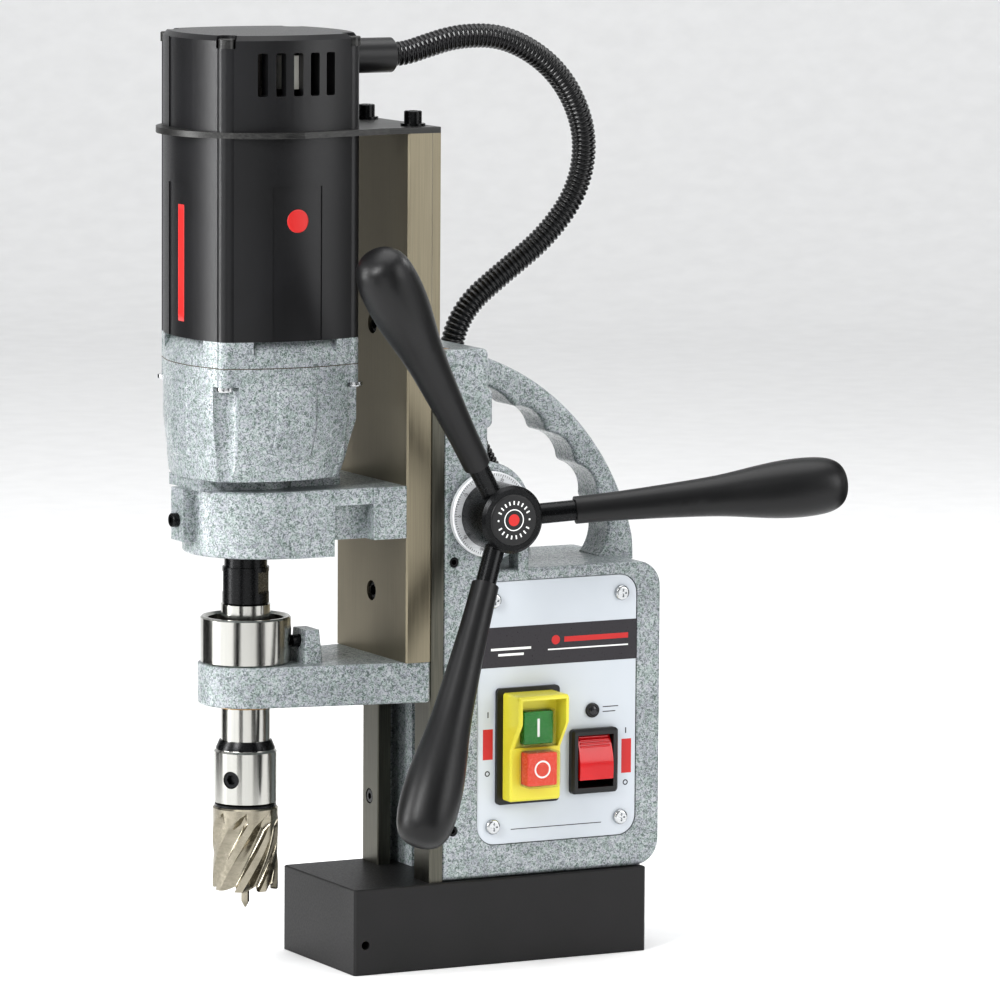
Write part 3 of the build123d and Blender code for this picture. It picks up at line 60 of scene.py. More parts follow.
# ==== camera and conduit =============================================================
camera_place = Vector((-1.5427, -3.0304, 0.6435))
turn, tilt, roll = radians(27.253), radians(7.037), radians(0.357)
looking = Vector((sin(turn) * cos(tilt), cos(turn) * cos(tilt), -sin(tilt)))
right = Vector((cos(turn), -sin(turn), 0))
over = right.cross(looking)
level, upright = cos(roll) * right + sin(roll) * over, cos(roll) * over - sin(roll) * right
axes = Matrix((level, upright, -looking)).transposed()
camera = bpy.data.objects.new("camera", bpy.data.cameras.new("camera"))
bpy.context.collection.objects.link(camera)
camera.matrix_world = Matrix.Translation(camera_place) @ axes.to_4x4()
camera.data.lens = 251.6
camera.data.sensor_width = 36.0
camera.data.clip_end = 50.0
bpy.context.scene.camera = camera


def mesh_piece(name, points, faces, body, smooth=True):
    """A piece from an array of points in metres and its faces, riding on a body."""
    mesh = bpy.data.meshes.new(name)
    mesh.from_pydata(np.asarray(points).reshape(-1, 3).tolist(), [], [list(map(int, face)) for face in faces])
    mesh.validate()
    mesh.shade_smooth() if smooth else mesh.shade_flat()
    piece = bpy.data.objects.new(name, mesh)
    bpy.context.collection.objects.link(piece)
    if body:
        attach(piece, body)
    return piece


def grid_faces(rows, columns, closed=True, looped=False, keep=None):
    """Quads of a grid of rows by columns, where keep is true. Closed columns run on from the last to the
    first, and so do looped rows."""
    down, across = rows if looped else rows - 1, columns if closed else columns - 1
    row, column = np.meshgrid(np.arange(down), np.arange(across), indexing="ij")
    below, after = (row + 1) % rows, (column + 1) % columns
    quads = np.stack([row * columns + column, row * columns + after,
                      below * columns + after, below * columns + column], axis=-1)
    return quads.reshape(-1, 4) if keep is None else quads[keep]


def rim_faces(steps):
    """Quads that join the rims of two square grids of points, the second numbered after the first."""
    rim = np.concatenate([np.arange(steps), np.arange(2, steps + 1) * steps - 1,
                          (steps - 1) * steps + np.arange(steps - 2, -1, -1),
                          np.arange(steps - 2, 0, -1) * steps])
    after = np.roll(rim, -1)
    return np.stack([rim, after, after + steps ** 2, rim + steps ** 2], axis=-1)


def round_angles(count):
    """Angles evenly spaced round a full turn."""
    return np.arange(count) * 2 * pi / count


def rotated(points, heading):
    """Flat points turned about the origin by the heading."""
    c, sn = cos(heading), sin(heading)
    return points @ np.array([[c, sn], [-sn, c]])


conduit_route = [(-48.0, 0, 442.8), (-36.5, 0, 442.8), (-24, 0, 446.6), (-6, 0, 451.3), (18, 0, 450.9),
                 (41, 0.3, 439.5), (57.5, 1.8, 422), (67.2, 4.5, 398.5), (65, 9, 373), (50.5, 14.5, 350.5),
                 (29, 19, 333), (10.5, 22.3, 317.5), (2.2, 24.2, 298), (4.2, 25.3, 276), (14, 25.5, 254.5),
                 (25.5, 25.5, 234), (33.5, 25.5, 220), (36.5, 25.5, 209), (36.5, 25.5, 199.5)]


def smooth_route(points):
    """Points along one smooth spline that has the route's points as its control points."""
    curve = bpy.data.curves.new("route", "CURVE")
    curve.dimensions = "3D"
    spline = curve.splines.new("NURBS")
    spline.points.add(len(points) - 1)
    for place, point in zip(spline.points, points):
        place.co = (point[0] * MM, point[1] * MM, point[2] * MM, 1.0)
    spline.order_u = 3
    spline.use_endpoint_u = True
    curve.resolution_u = 24
    holder = bpy.data.objects.new("route", curve)
    bpy.context.collection.objects.link(holder)
    bpy.context.view_layer.update()
    line = bpy.data.meshes.new_from_object(holder)
    found = np.array([vertex.co for vertex in line.vertices])
    bpy.data.objects.remove(holder)
    return found


def resampled(line, count):
    """The line's points spaced evenly along it."""
    steps = np.linalg.norm(np.diff(line, axis=0), axis=1)
    along = np.concatenate([[0], np.cumsum(steps)])
    wanted = np.linspace(0, along[-1], count)
    return np.stack([np.interp(wanted, along, line[:, axis]) for axis in range(3)], axis=1), wanted


def corrugated_conduit():
    """A tube round the route: its radius rises and falls once in each pitch, a raised cosine sharpened
    into a round-topped rib with a narrow groove beside it."""
    pitch, outer, groove, around = 2.45 * MM, 6.0 * MM, 1.15 * MM, 20
    line = smooth_route(conduit_route)
    length = np.linalg.norm(np.diff(line, axis=0), axis=1).sum()
    centres, along = resampled(line, int(length / pitch * 7))
    tangent = np.gradient(centres, axis=0)
    tangent /= np.linalg.norm(tangent, axis=1)[:, None]
    side = np.cross(tangent, (0, 1, 0))
    side /= np.linalg.norm(side, axis=1)[:, None]
    other = np.cross(side, tangent)
    rib = np.abs(np.cos(pi * along / pitch)) ** 0.7
    radius = outer - groove * (1 - rib)
    angle = round_angles(around)
    ring = np.cos(angle)[None, :, None] * side[:, None] + np.sin(angle)[None, :, None] * other[:, None]
    points = centres[:, None] + radius[:, None, None] * ring
    rows = len(centres)
    faces = [list(face) for face in grid_faces(rows, around)[:, ::-1]]
    faces += [list(range(around)), list(range((rows - 1) * around, rows * around))[::-1]]
    piece = mesh_piece("corrugated_conduit", points, faces, None)
    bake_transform(piece)
    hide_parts("conduit")
    return piece


# The finish of each printed and added piece.
finish_of = {}


def finished(piece, finish):
    """Note the finish that a new piece gets."""
    finish_of[piece] = finish


conduit = corrugated_conduit()
finished(conduit, "conduit_nylon")

# ==== detailed pieces ==================================================================
spindle_axis, hub_axis, motor_axis = -119.6, (-8.1, 221.7), -112.5
panel_face, dial_face, cap_face = -36.5, -42.6, -66.1
PRINT = 0.04                  # how far a printed mark stands off its face
# the motor's side view from above: half its width, how far a side bows out, and its corner's radius
motor_half, motor_bulge, motor_corner = 43.0, 6.0, 6.0
side_radius = ((motor_half - motor_bulge - motor_corner) ** 2 + motor_bulge ** 2) / (2 * motor_bulge)


def annular_cutter():
    """The cutter: a closed profile of radius and height carried round the spindle. Outside, each of eight
    flutes takes a depth that drops at once behind a tooth's edge and rises again as a smooth curve, and the
    angle moves on with height, which makes the helix. The lower edge is cut back in front of each tooth."""
    around, rows, teeth = 480, 64, 8
    body, bore, shank, pin = 15.9, 12.6, 9.48, 3.2
    low, shoulder, top, ceiling = 40.3, 80.8, 100.8, 70.3
    lead, depth, gullet = 0.0365, 3.0, 3.6
    angle = round_angles(around)
    phase = np.mod(-angle * teeth / (2 * pi), 1.0)      # how far round its own tooth a point is, 0 to 1
    edge = low + gullet * np.clip(1 - phase / 0.62, 0, 1) ** 1.4 * np.clip(phase / 0.06, 0, 1)
    share = np.linspace(1, 0, rows)[:, None]
    height = edge + (shoulder - 0.8 - edge) * share
    turned = angle + (height - low) * lead
    fall = np.sin(pi * np.clip(phase / 0.68, 0, 1) ** 0.6) ** 0.75
    run_out = np.clip((shoulder - 2.2 - 16.0 * np.abs(phase - 0.3) - height) / 5.0, 0, 1)
    radius = body - depth * fall * run_out ** 0.6
    outer = np.stack([radius * np.cos(turned), radius * np.sin(turned), height], axis=-1)
    shoulder_angle = angle + (shoulder - low) * lead
    ring = np.stack([np.cos(shoulder_angle), np.sin(shoulder_angle)], axis=-1)

    def hoop(size, level):
        """A level ring of points at one radius."""
        return np.concatenate([size * ring, np.full((around, 1), level)], axis=-1)[None]

    inner_turn = np.stack([np.cos(angle), np.sin(angle)], axis=-1)
    inside = np.concatenate([(bore + 0.35) * inner_turn, edge[:, None] + 0.15], axis=-1)[None]
    above = np.concatenate([bore * inner_turn, np.full((around, 1), 47.0)], axis=-1)[None]
    points = np.concatenate([hoop(pin, top), hoop(shank - 0.5, top), hoop(shank, top - 0.5),
                             hoop(shank, shoulder), hoop(body - 0.8, shoulder), outer, inside, above,
                             hoop(bore, ceiling), hoop(pin, ceiling)])
    points[..., 0] += spindle_axis
    faces = np.roll(grid_faces(len(points), around, looped=True)[:, ::-1], 1, axis=1)
    piece = mesh_piece("annular_cutter", points * MM, faces, "spindle")
    piece.data.set_sharp_from_angle(angle=radians(32))
    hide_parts("cutter")
    finished(piece, "tool_steel")


def lathe(name, profile, middle, body, slot, around=96):
    """A ring: a closed profile of radius and height carried round an upright axis at the given X."""
    profile = np.array(profile, float)
    angle = round_angles(around)
    points = np.stack([middle + profile[:, :1] * np.cos(angle), profile[:, :1] * np.sin(angle),
                       np.broadcast_to(profile[:, 1:], (len(profile), around))], axis=-1)
    piece = mesh_piece(name, points * MM, grid_faces(len(profile), around, looped=True), body)
    piece.data.set_sharp_from_angle(angle=radians(35))
    finished(piece, slot)


def motor_outline(half, steps=24):
    """The motor's bowed square: each side is a circle's arc through two corner points and the side's middle,
    and each corner is a small circle's arc, so the whole is one closed loop of points about the axis."""
    flat = half - motor_bulge
    corner = motor_corner
    rise = flat - corner
    large = (rise ** 2 + motor_bulge ** 2) / (2 * motor_bulge)
    sweep = np.linspace(-np.arcsin(rise / large), np.arcsin(rise / large), steps)
    side = np.stack([half - large + large * np.cos(sweep), large * np.sin(sweep)], axis=-1)
    turn_round = np.linspace(0, pi / 2, 9)[1:-1]
    bend = np.stack([flat - corner + corner * np.cos(turn_round),
                     flat - corner + corner * np.sin(turn_round)], axis=-1)
    quarter = np.concatenate([side, bend])
    return np.concatenate([rotated(quarter, k * pi / 2) for k in range(4)])


def outline_band(name, half, low, high, wall, body, slot):
    """A thin band round the motor: the bowed square's loop at four corners of a small upright rectangle."""
    outer, inner = motor_outline(half), motor_outline(half - wall)
    count = len(outer)
    points = np.stack([np.column_stack([loop, np.full(count, level)]) for loop, level in
                       ((outer, low), (outer, high), (inner, high), (inner, low))])
    points[..., 0] += motor_axis
    piece = mesh_piece(name, points * MM, grid_faces(4, count, looped=True), body, smooth=False)
    finished(piece, slot)


# Outlines of printed marks, each an outer loop and, for a ring, an inner loop of as many points.
def bar(middle, size, heading=0.0):
    """Four corners of a rectangle turned by the heading."""
    corners = np.array([(-1, -1), (1, -1), (1, 1), (-1, 1)]) * np.array(size) / 2
    return np.array(middle) + rotated(corners, heading), None


def disc(middle, radius, hole=None, steps=56):
    """A circle's points, and a smaller circle's where it has a hole."""
    angle = round_angles(steps)
    unit = np.stack([np.cos(angle), np.sin(angle)], axis=-1)
    return np.array(middle) + radius * unit, None if hole is None else np.array(middle) + hole * unit


def soft_box(middle, size, corner, steps=6):
    """A rectangle with round corners: a quarter circle at each corner."""
    angle = (np.arange(4)[:, None] * pi / 2 + np.linspace(0, pi / 2, steps)).reshape(-1)
    sign = np.repeat([(1, 1), (-1, 1), (-1, -1), (1, -1)], steps, axis=0)
    return np.array(middle) + sign * (np.array(size) / 2 - corner) + corner * np.stack(
        [np.cos(angle), np.sin(angle)], axis=-1), None


def front_marks(name, outlines, face, body, slot):
    """Flat printed marks that face -Y: each outline is carried a little way out from the face and closed at
    both ends."""
    points, faces, start = [], [], 0
    for outer, hole in outlines:
        loops = [outer] if hole is None else [outer, hole]
        count = len(outer)
        for loop in loops:
            for level in (face, face - PRINT):
                points.append(np.column_stack([loop[:, 0], np.full(count, level), loop[:, 1]]))
        k = np.arange(count)
        after = (k + 1) % count
        # each loop of points and the same loop one point on: outer back and front, then inner back and front
        here = [start + count * loop + k for loop in range(2 * len(loops))]
        next_on = [start + count * loop + after for loop in range(2 * len(loops))]
        bands = [(0, 1)] if hole is None else [(0, 1), (3, 2), (1, 3), (2, 0)]
        for one, two in bands:
            faces += np.stack([here[one], next_on[one], next_on[two], here[two]], axis=-1).tolist()
        if hole is None:
            faces += [here[1].tolist(), here[0][::-1].tolist()]
        start += count * 2 * len(loops)
    piece = mesh_piece(name, np.concatenate(points) * MM, faces, body, smooth=False)
    finished(piece, slot)


def bowed_mark(name, side, across, along, body, slot, round_mark=False):
    """A thin mark that follows the motor's bowed side: a grid across and up the side, each point at the
    large circle's distance from the axis, closed by a second grid just behind it."""
    steps = 15
    motor_side = 42.5                  # the motor's side, just inside the gear case's
    share = np.linspace(-1, 1, steps)
    u, v = np.meshgrid(share, share, indexing="ij")
    if round_mark:                     # square grid pulled to a disc
        u, v = u * np.sqrt(1 - v ** 2 / 2), v * np.sqrt(1 - u ** 2 / 2)
    u = across[0] + u * across[1]
    v = along[0] + v * along[1]
    out = motor_side - side_radius + np.sqrt(side_radius ** 2 - u ** 2)
    layers = []
    for lift in (PRINT, -0.2):
        distance = out + lift
        layers.append(np.stack([motor_axis + u, -distance, v] if side == "front" else
                               [motor_axis - distance, -u, v], axis=-1).reshape(-1, 3))
    front = grid_faces(steps, steps, closed=False)
    piece = mesh_piece(name, np.concatenate(layers) * MM,
                       np.concatenate([front, rim_faces(steps), front[:, ::-1] + steps ** 2]), body)
    outward(piece)
    finished(piece, slot)


def outward(piece):
    """Turn a closed mesh's faces outwards."""
    mesh = bmesh.new()
    mesh.from_mesh(piece.data)
    bmesh.ops.recalc_face_normals(mesh, faces=mesh.faces[:])
    mesh.to_mesh(piece.data)
    mesh.free()


def dial_marks():
    """The feed dial: short, middle and long graduation bars round the ring's face, and numbers every ten."""
    number_reach = 17.35                # from the ring's axis to the middle of a number
    bars = []
    for step, heading in enumerate(round_angles(100)):
        length = 1.9 if step % 10 == 0 else 1.45 if step % 5 == 0 else 1.0
        reach = 20.1 - length / 2
        bars.append(bar((hub_axis[0] + reach * cos(heading), hub_axis[1] + reach * sin(heading)),
                        (length, 0.22), heading))
    front_marks("dial_graduation", bars, dial_face, "dial", "black_plastic")
    numbers, faces, start = [], [], 0
    for ten in range(10):
        writing = bpy.data.curves.new("digit", "FONT")
        writing.body, writing.size = str(ten * 10), 2.1
        writing.align_x, writing.align_y = "CENTER", "CENTER"
        writing.extrude, writing.resolution_u = PRINT, 3
        holder = bpy.data.objects.new("digit", writing)
        bpy.context.collection.objects.link(holder)
        bpy.context.view_layer.update()
        digit = bpy.data.meshes.new_from_object(holder)
        flat = np.array([vertex.co for vertex in digit.vertices])
        heading = -2 * pi * ten / 10 + pi
        place = rotated(flat[:, :2], heading - pi / 2) + np.array(hub_axis) + number_reach * np.array(
            [cos(heading), sin(heading)])
        numbers.append(np.column_stack([place[:, 0], dial_face - flat[:, 2], place[:, 1]]))
        faces += [[start + corner for corner in face.vertices] for face in digit.polygons]
        start += len(flat)
        bpy.data.objects.remove(holder)
    digits = mesh_piece("dial_numbers", np.concatenate(numbers) * MM, faces, "dial", smooth=False)
    finished(digits, "black_plastic")


def clear_cover(name, place, size, depth):
    """A clear moulded cover: an open box whose outside and inside are rounded rectangles drawn in towards
    the front by a quarter ellipse, joined at the rim."""
    back, front = depth
    wall, corner, steps = 0.7, 2.2, 7
    rows = []
    lean = np.linspace(0, pi / 2, steps)
    for inset, reach in ((0.0, front), (wall, front + wall)):
        levels = [(inset, back)] + [(inset + 0.9 * (1 - cos(a)), reach + 0.9 * (1 - sin(a))) for a in lean]
        levels += [(inset + 4.0, reach)]
        rows.append([(soft_box(place, (size[0] - 2 * g, size[1] - 2 * g), max(corner - g, 0.4))[0], y)
                     for g, y in levels])
    ordered = rows[0] + rows[1][::-1]
    count = len(ordered[0][0])
    points = np.stack([np.column_stack([loop[:, 0], np.full(count, y), loop[:, 1]]) for loop, y in ordered])
    total = len(ordered)
    middle = total // 2 - 1             # the outside's last loop, where its front closes
    keep = np.ones((total, count), bool)
    keep[middle] = False
    faces = grid_faces(total, count, looped=True, keep=keep).tolist()
    faces += [list(range(middle * count, (middle + 1) * count)),
              list(range((middle + 1) * count, (middle + 2) * count))[::-1]]
    piece = mesh_piece(name, points * MM, faces, "stand")
    piece.data.set_sharp_from_angle(angle=radians(40))
    outward(piece)
    finished(piece, "clear_cover")


def lens(name, middle, radius, face, rise, body, slot):
    """A low dome that faces -Y: circles that shrink as a quarter ellipse rises, closed at the back."""
    around, rings = 40, 9
    lift = np.linspace(0, pi / 2, rings)[:-1]
    angle = round_angles(around)
    points = np.stack([middle[0] + radius * np.cos(lift)[:, None] * np.cos(angle),
                       face - rise * np.sin(lift)[:, None] + 0 * angle,
                       middle[1] + radius * np.cos(lift)[:, None] * np.sin(angle)], axis=-1).reshape(-1, 3)
    points = np.concatenate([points, [[middle[0], face - rise, middle[1]]]])
    last = (rings - 2) * around
    faces = grid_faces(rings - 1, around).tolist()
    k = np.arange(around)
    faces += np.stack([last + k, last + (k + 1) % around, np.full(around, len(points) - 1)], axis=-1).tolist()
    faces.append(list(range(around))[::-1])
    piece = mesh_piece(name, points * MM, faces, body)
    outward(piece)
    finished(piece, slot)


def case_pads():
    """Raised label pads on the gear case's four sides: a grid across and up each side, each point at the
    bowed side's distance, drawn in with the taper below, and lifted by a smooth step near the pad's edge."""
    steps, half_wide, half_high, corner, lift = 33, 11.0, 18.5, 3.2, 0.85
    taper_top, taper_low, draw_in, set_back = 270.0, 242.9, 4.8, 3.1
    pad_level, sunk = 270.9, 0.6
    share = np.linspace(-1, 1, steps)
    u, v = np.meshgrid(share * half_wide, share * half_high, indexing="ij")
    inside = np.stack([np.abs(u) - half_wide + corner, np.abs(v) - half_high + corner])
    to_edge = corner - np.hypot(*np.clip(inside, 0, None)) - np.clip(inside.max(axis=0), None, 0)
    rise = np.clip(to_edge / 1.5, 0, 1)
    rise = rise * rise * (3 - 2 * rise) * lift - 0.25 * (to_edge <= 0.01)
    level = pad_level + v
    drop = np.clip((taper_top - level) / (taper_top - taper_low), 0, 1)
    points, faces = [], []
    for side in range(4):
        reach = motor_half - draw_in * drop - side_radius + np.sqrt(side_radius ** 2 - u ** 2)
        c, sn = round(cos(side * pi / 2)), round(sin(side * pi / 2))
        for height in (rise, -sunk):
            out = reach + height
            points.append(np.stack([motor_axis - set_back * drop + c * out - sn * u, sn * out + c * u, level],
                                   axis=-1).reshape(-1, 3))
        start = side * 2 * steps ** 2
        front = grid_faces(steps, steps, closed=False) + start
        faces += front.tolist() + (front[:, ::-1] + steps ** 2).tolist()
        faces += (rim_faces(steps) + start).tolist()
    piece = mesh_piece("case_pads", np.concatenate(points) * MM, faces, "carriage")
    outward(piece)
    finished(piece, "hammertone")


def coil_spring():
    """The ejector spring: a small circle carried along a helix."""
    low, high, wire, coil, turns, around = 107.5, 167.5, 0.5, 4.4, 12, 10
    along = np.linspace(0, 1, turns * 28)[:, None]
    spin = along * turns * 2 * pi
    angle = round_angles(around)
    reach = coil + wire * np.cos(angle)
    points = np.stack([spindle_axis + reach * np.cos(spin), reach * np.sin(spin),
                       low + (high - low) * along + wire * np.sin(angle)], axis=-1)
    rows = len(points)
    faces = grid_faces(rows, around).tolist()
    faces += [list(range(around))[::-1], list(range((rows - 1) * around, rows * around))]
    piece = mesh_piece("coil_spring", points * MM, faces, "spindle")
    outward(piece)
    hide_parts("ejector_spring")
    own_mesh(piece)
    finished(piece, "tool_steel")


def rocker_ribs():
    """Grip ribs on the rocker: half-round bars along X, side by side over the top of its face."""
    half_wide, steps, count = 8.0, 8, 4
    rocker_middle, pivot = 51.2, np.array([panel_face + 6.0, 96.5])
    turned = radians(-12.0)
    angle = np.linspace(0, pi, steps)
    points, faces = [], []
    for k in range(count):
        up = 5.2 + 1.6 * k
        out = -13.4 + 2.4 - 2.2 * (1 - (up / 11.1) ** 2) + 2.2
        section = np.stack([out - 0.55 * np.sin(angle), up + 0.5 * np.cos(angle)], axis=-1)
        section = rotated(section, turned) + pivot
        for x in (rocker_middle - half_wide, rocker_middle + half_wide):
            points.append(np.column_stack([np.full(steps, x), section]))
        base = 2 * k * steps
        i = np.arange(steps)
        j = (i + 1) % steps
        faces += np.stack([base + i, base + j, base + steps + j, base + steps + i], axis=-1).tolist()
        faces += [(base + i)[::-1].tolist(), (base + steps + i).tolist()]
    piece = mesh_piece("rocker_ribs", np.concatenate(points) * MM, faces, "magnet_rocker", smooth=False)
    outward(piece)
    finished(piece, "rocker_red")


annular_cutter()
lathe("holder_collar", [(12.05, 108.9), (14.35, 108.9), (14.35, 109.4), (12.75, 113.1), (12.05, 113.1)],
      spindle_axis, "spindle", "black_oxide")
lathe("shank_washer", [(9.6, 80.9), (15.0, 80.9), (15.0, 81.9), (9.6, 81.9)], spindle_axis, "spindle",
      "black_oxide")
outline_band("case_gasket", 43.06, 297.4, 297.8, 0.9, "carriage", "gasket_paper")
dial_marks()
tick_reach = 8.4              # from the hub's axis to the middle of the ticks and dots on its cap
tick_headings = np.concatenate([np.linspace(0.45, pi - 0.45, 9), np.linspace(pi + 0.5, 2 * pi - 0.5, 8)])
ticks = [bar((hub_axis[0] + tick_reach * cos(a), hub_axis[1] + tick_reach * sin(a)), (1.9, 0.75), a)
         for a in tick_headings]
dots = [disc((hub_axis[0] + side * tick_reach, hub_axis[1]), 0.5) for side in (1, -1)]
front_marks("cap_ring", [disc(hub_axis, 5.3, 4.8)] + ticks + dots, cap_face, "feed", "white_print")
front_marks("cap_spot", [disc(hub_axis, 2.9)], cap_face, "feed", "red_print")
front_marks("panel_band", [bar((32.5, 155.4), (86.8, 19.8))], panel_face, "stand", "black_print")
front_marks("band_rules", [bar((6.0, 154.4), (22.0, 1.2)), bar((6.0, 151.6), (14.0, 1.2)),
                           bar((48.5, 152.8), (44.4, 0.7))], panel_face - PRINT, "stand", "white_print")
front_marks("band_stripe", [disc((30.6, 157.4), 2.3), bar((53.0, 157.4), (35.4, 2.6))],
            panel_face - PRINT, "stand", "red_print")
front_marks("switch_blocks", [bar((-6.4, 107.9), (5.4, 15.0)), bar((70.2, 97.4), (5.4, 17.0))],
            panel_face, "stand", "red_print")
front_marks("switch_signs", [
    bar((-6.4, 122.5), (0.6, 2.8)), disc((-6.6, 93.5), 1.4, 0.85), bar((69.8, 110.1), (0.6, 2.8)),
    disc((69.8, 84.2), 1.4, 0.85), bar((61.2, 122.6), (8.6, 0.45)), bar((60.4, 120.2), (7.0, 0.45)),
    bar((31.5, 65.2), (50.0, 0.4))], panel_face, "stand", "black_print")
front_marks("start_sign", [bar((15.2, 116.6), (1.3, 9.0))], -48.5, "start", "white_print")
front_marks("stop_sign", [disc((15.2, 96.7), 4.4, 3.5)], -53.0, "stop", "white_print")
clear_cover("start_cover", (15.2, 116.4), (18.6, 18.8), (-45.05, -49.7))
clear_cover("stop_cover", (15.2, 96.7), (18.8, 18.2), (-46.55, -54.6))
lens("indicator_lens", (50.9, 121.3), 2.5, -38.1, 0.9, "stand", "smoked_lens")
rocker_ribs()
case_pads()
coil_spring()
bowed_mark("motor_spot", "front", (0.0, 5.6), (367.6, 5.6), "carriage", "red_print", round_mark=True)
bowed_mark("motor_stripe", "left", (2.0, 3.2), (346.0, 28.0), "carriage", "red_print")


# ==== finishes ========================================================================
def colour(code):
    """A hex sRGB colour as linear values."""
    value = np.array([int(code[i:i + 2], 16) for i in (1, 3, 5)]) / 255
    return (*np.where(value <= 0.04045, value / 12.92, ((value + 0.055) / 1.055) ** 2.4), 1.0)


def add(tree, kind, inputs=None, **settings):
    """Add one node: its settings, and for each input a value or the socket that feeds it."""
    made = tree.nodes.new(kind)
    for key, value in settings.items():
        setattr(made, key, value)
    for key, value in (inputs or {}).items():
        if isinstance(value, bpy.types.NodeSocket):
            tree.links.new(value, made.inputs[key])
        else:
            made.inputs[key].default_value = value
    return made


def ramp(tree, factor, stops):
    """A colour ramp through the given positions and colours."""
    made = add(tree, "ShaderNodeValToRGB", {"Fac": factor})
    bar = made.color_ramp
    while len(bar.elements) < len(stops):
        bar.elements.new(0.5)
    for element, (place, shade) in zip(bar.elements, stops):
        element.position = place
        element.color = colour(shade) if isinstance(shade, str) else (shade, shade, shade, 1)
    return made.outputs["Color"]


def material(name, **values):
    """A new material and its shader, with the shader's own values set."""
    made = bpy.data.materials.new(name)
    made.use_nodes = True
    shader = made.node_tree.nodes["Principled BSDF"]
    for key, value in values.items():
        shader.inputs[key.replace("_", " ")].default_value = value
    place = add(made.node_tree, "ShaderNodeTexCoord").outputs["Object"]
    return made, made.node_tree, shader, place


def hammertone():
    """Hammered grey enamel on cast iron: silver pools a little over 1 mm across between darker green-grey
    and violet-grey veins, with a soft gloss."""
    made, tree, shader, place = material("hammertone_enamel", Metallic=0.2, Coat_Weight=0.3,
                                         Coat_Roughness=0.15)
    pools = add(tree, "ShaderNodeTexNoise", {"Vector": place, "Scale": 780.0, "Detail": 2.2, "Roughness": 0.5,
                                             "Distortion": 1.6})
    tints = add(tree, "ShaderNodeTexNoise", {"Vector": place, "Scale": 420.0, "Detail": 1.0})
    broad = add(tree, "ShaderNodeTexNoise", {"Vector": place, "Scale": 60.0, "Detail": 2.0})
    veins = ramp(tree, pools.outputs["Fac"], [(0.36, "#616d69"), (0.45, "#848b8d"), (0.52, "#a5abad"),
                                              (0.64, "#b5babc")])
    tint = ramp(tree, tints.outputs["Fac"], [(0.38, "#e4ece6"), (0.5, "#ffffff"), (0.62, "#f3f0f5")])
    tone = ramp(tree, broad.outputs["Fac"], [(0.3, "#e6e7e8"), (0.7, "#ffffff")])
    first = add(tree, "ShaderNodeMix", {"Factor": 1.0, "A": veins, "B": tint}, data_type="RGBA",
                blend_type="MULTIPLY")
    both = add(tree, "ShaderNodeMix", {"Factor": 1.0, "A": first.outputs["Result"], "B": tone},
               data_type="RGBA", blend_type="MULTIPLY")
    tree.links.new(both.outputs["Result"], shader.inputs["Base Color"])
    tree.links.new(ramp(tree, pools.outputs["Fac"], [(0.3, 0.52), (0.7, 0.36)]), shader.inputs["Roughness"])
    bump = add(tree, "ShaderNodeBump", {"Height": pools.outputs["Fac"], "Strength": 0.4, "Distance": 0.0004})
    tree.links.new(bump.outputs["Normal"], shader.inputs["Normal"])
    return made


def brushed(name, dark, light, rough, along, metallic=1.0, grain=2200.0):
    """Ground or turned metal: fine parallel grinding lines, long along one axis."""
    made, tree, shader, place = material(name, Metallic=metallic)
    stretch = [grain, grain, grain]
    stretch[along] = grain / 60
    lines = add(tree, "ShaderNodeMapping", {"Vector": place, "Scale": stretch})
    grit = add(tree, "ShaderNodeTexNoise", {"Vector": lines.outputs["Vector"], "Scale": 1.0, "Detail": 3.0})
    tree.links.new(ramp(tree, grit.outputs["Fac"], [(0.3, dark), (0.7, light)]), shader.inputs["Base Color"])
    tree.links.new(ramp(tree, grit.outputs["Fac"], [(0.25, rough - 0.06), (0.75, rough + 0.08)]),
                   shader.inputs["Roughness"])
    bump = add(tree, "ShaderNodeBump", {"Height": grit.outputs["Fac"], "Strength": 0.12, "Distance": 0.00006})
    tree.links.new(bump.outputs["Normal"], shader.inputs["Normal"])
    return made


def moulded(name, dark, light, rough, texture=1600.0, strength=0.15, metallic=0.0, **values):
    """Moulded plastic or sprayed paint: one colour with a fine grain in its gloss."""
    made, tree, shader, place = material(name, Metallic=metallic, **values)
    grain = add(tree, "ShaderNodeTexNoise", {"Vector": place, "Scale": texture, "Detail": 2.0})
    cloud = add(tree, "ShaderNodeTexNoise", {"Vector": place, "Scale": 25.0, "Detail": 2.0})
    tree.links.new(ramp(tree, cloud.outputs["Fac"], [(0.3, dark), (0.7, light)]), shader.inputs["Base Color"])
    tree.links.new(ramp(tree, grain.outputs["Fac"], [(0.3, rough - 0.05), (0.7, rough + 0.06)]),
                   shader.inputs["Roughness"])
    bump = add(tree, "ShaderNodeBump", {"Height": grain.outputs["Fac"], "Strength": strength,
                                        "Distance": 0.0001})
    tree.links.new(bump.outputs["Normal"], shader.inputs["Normal"])
    return made


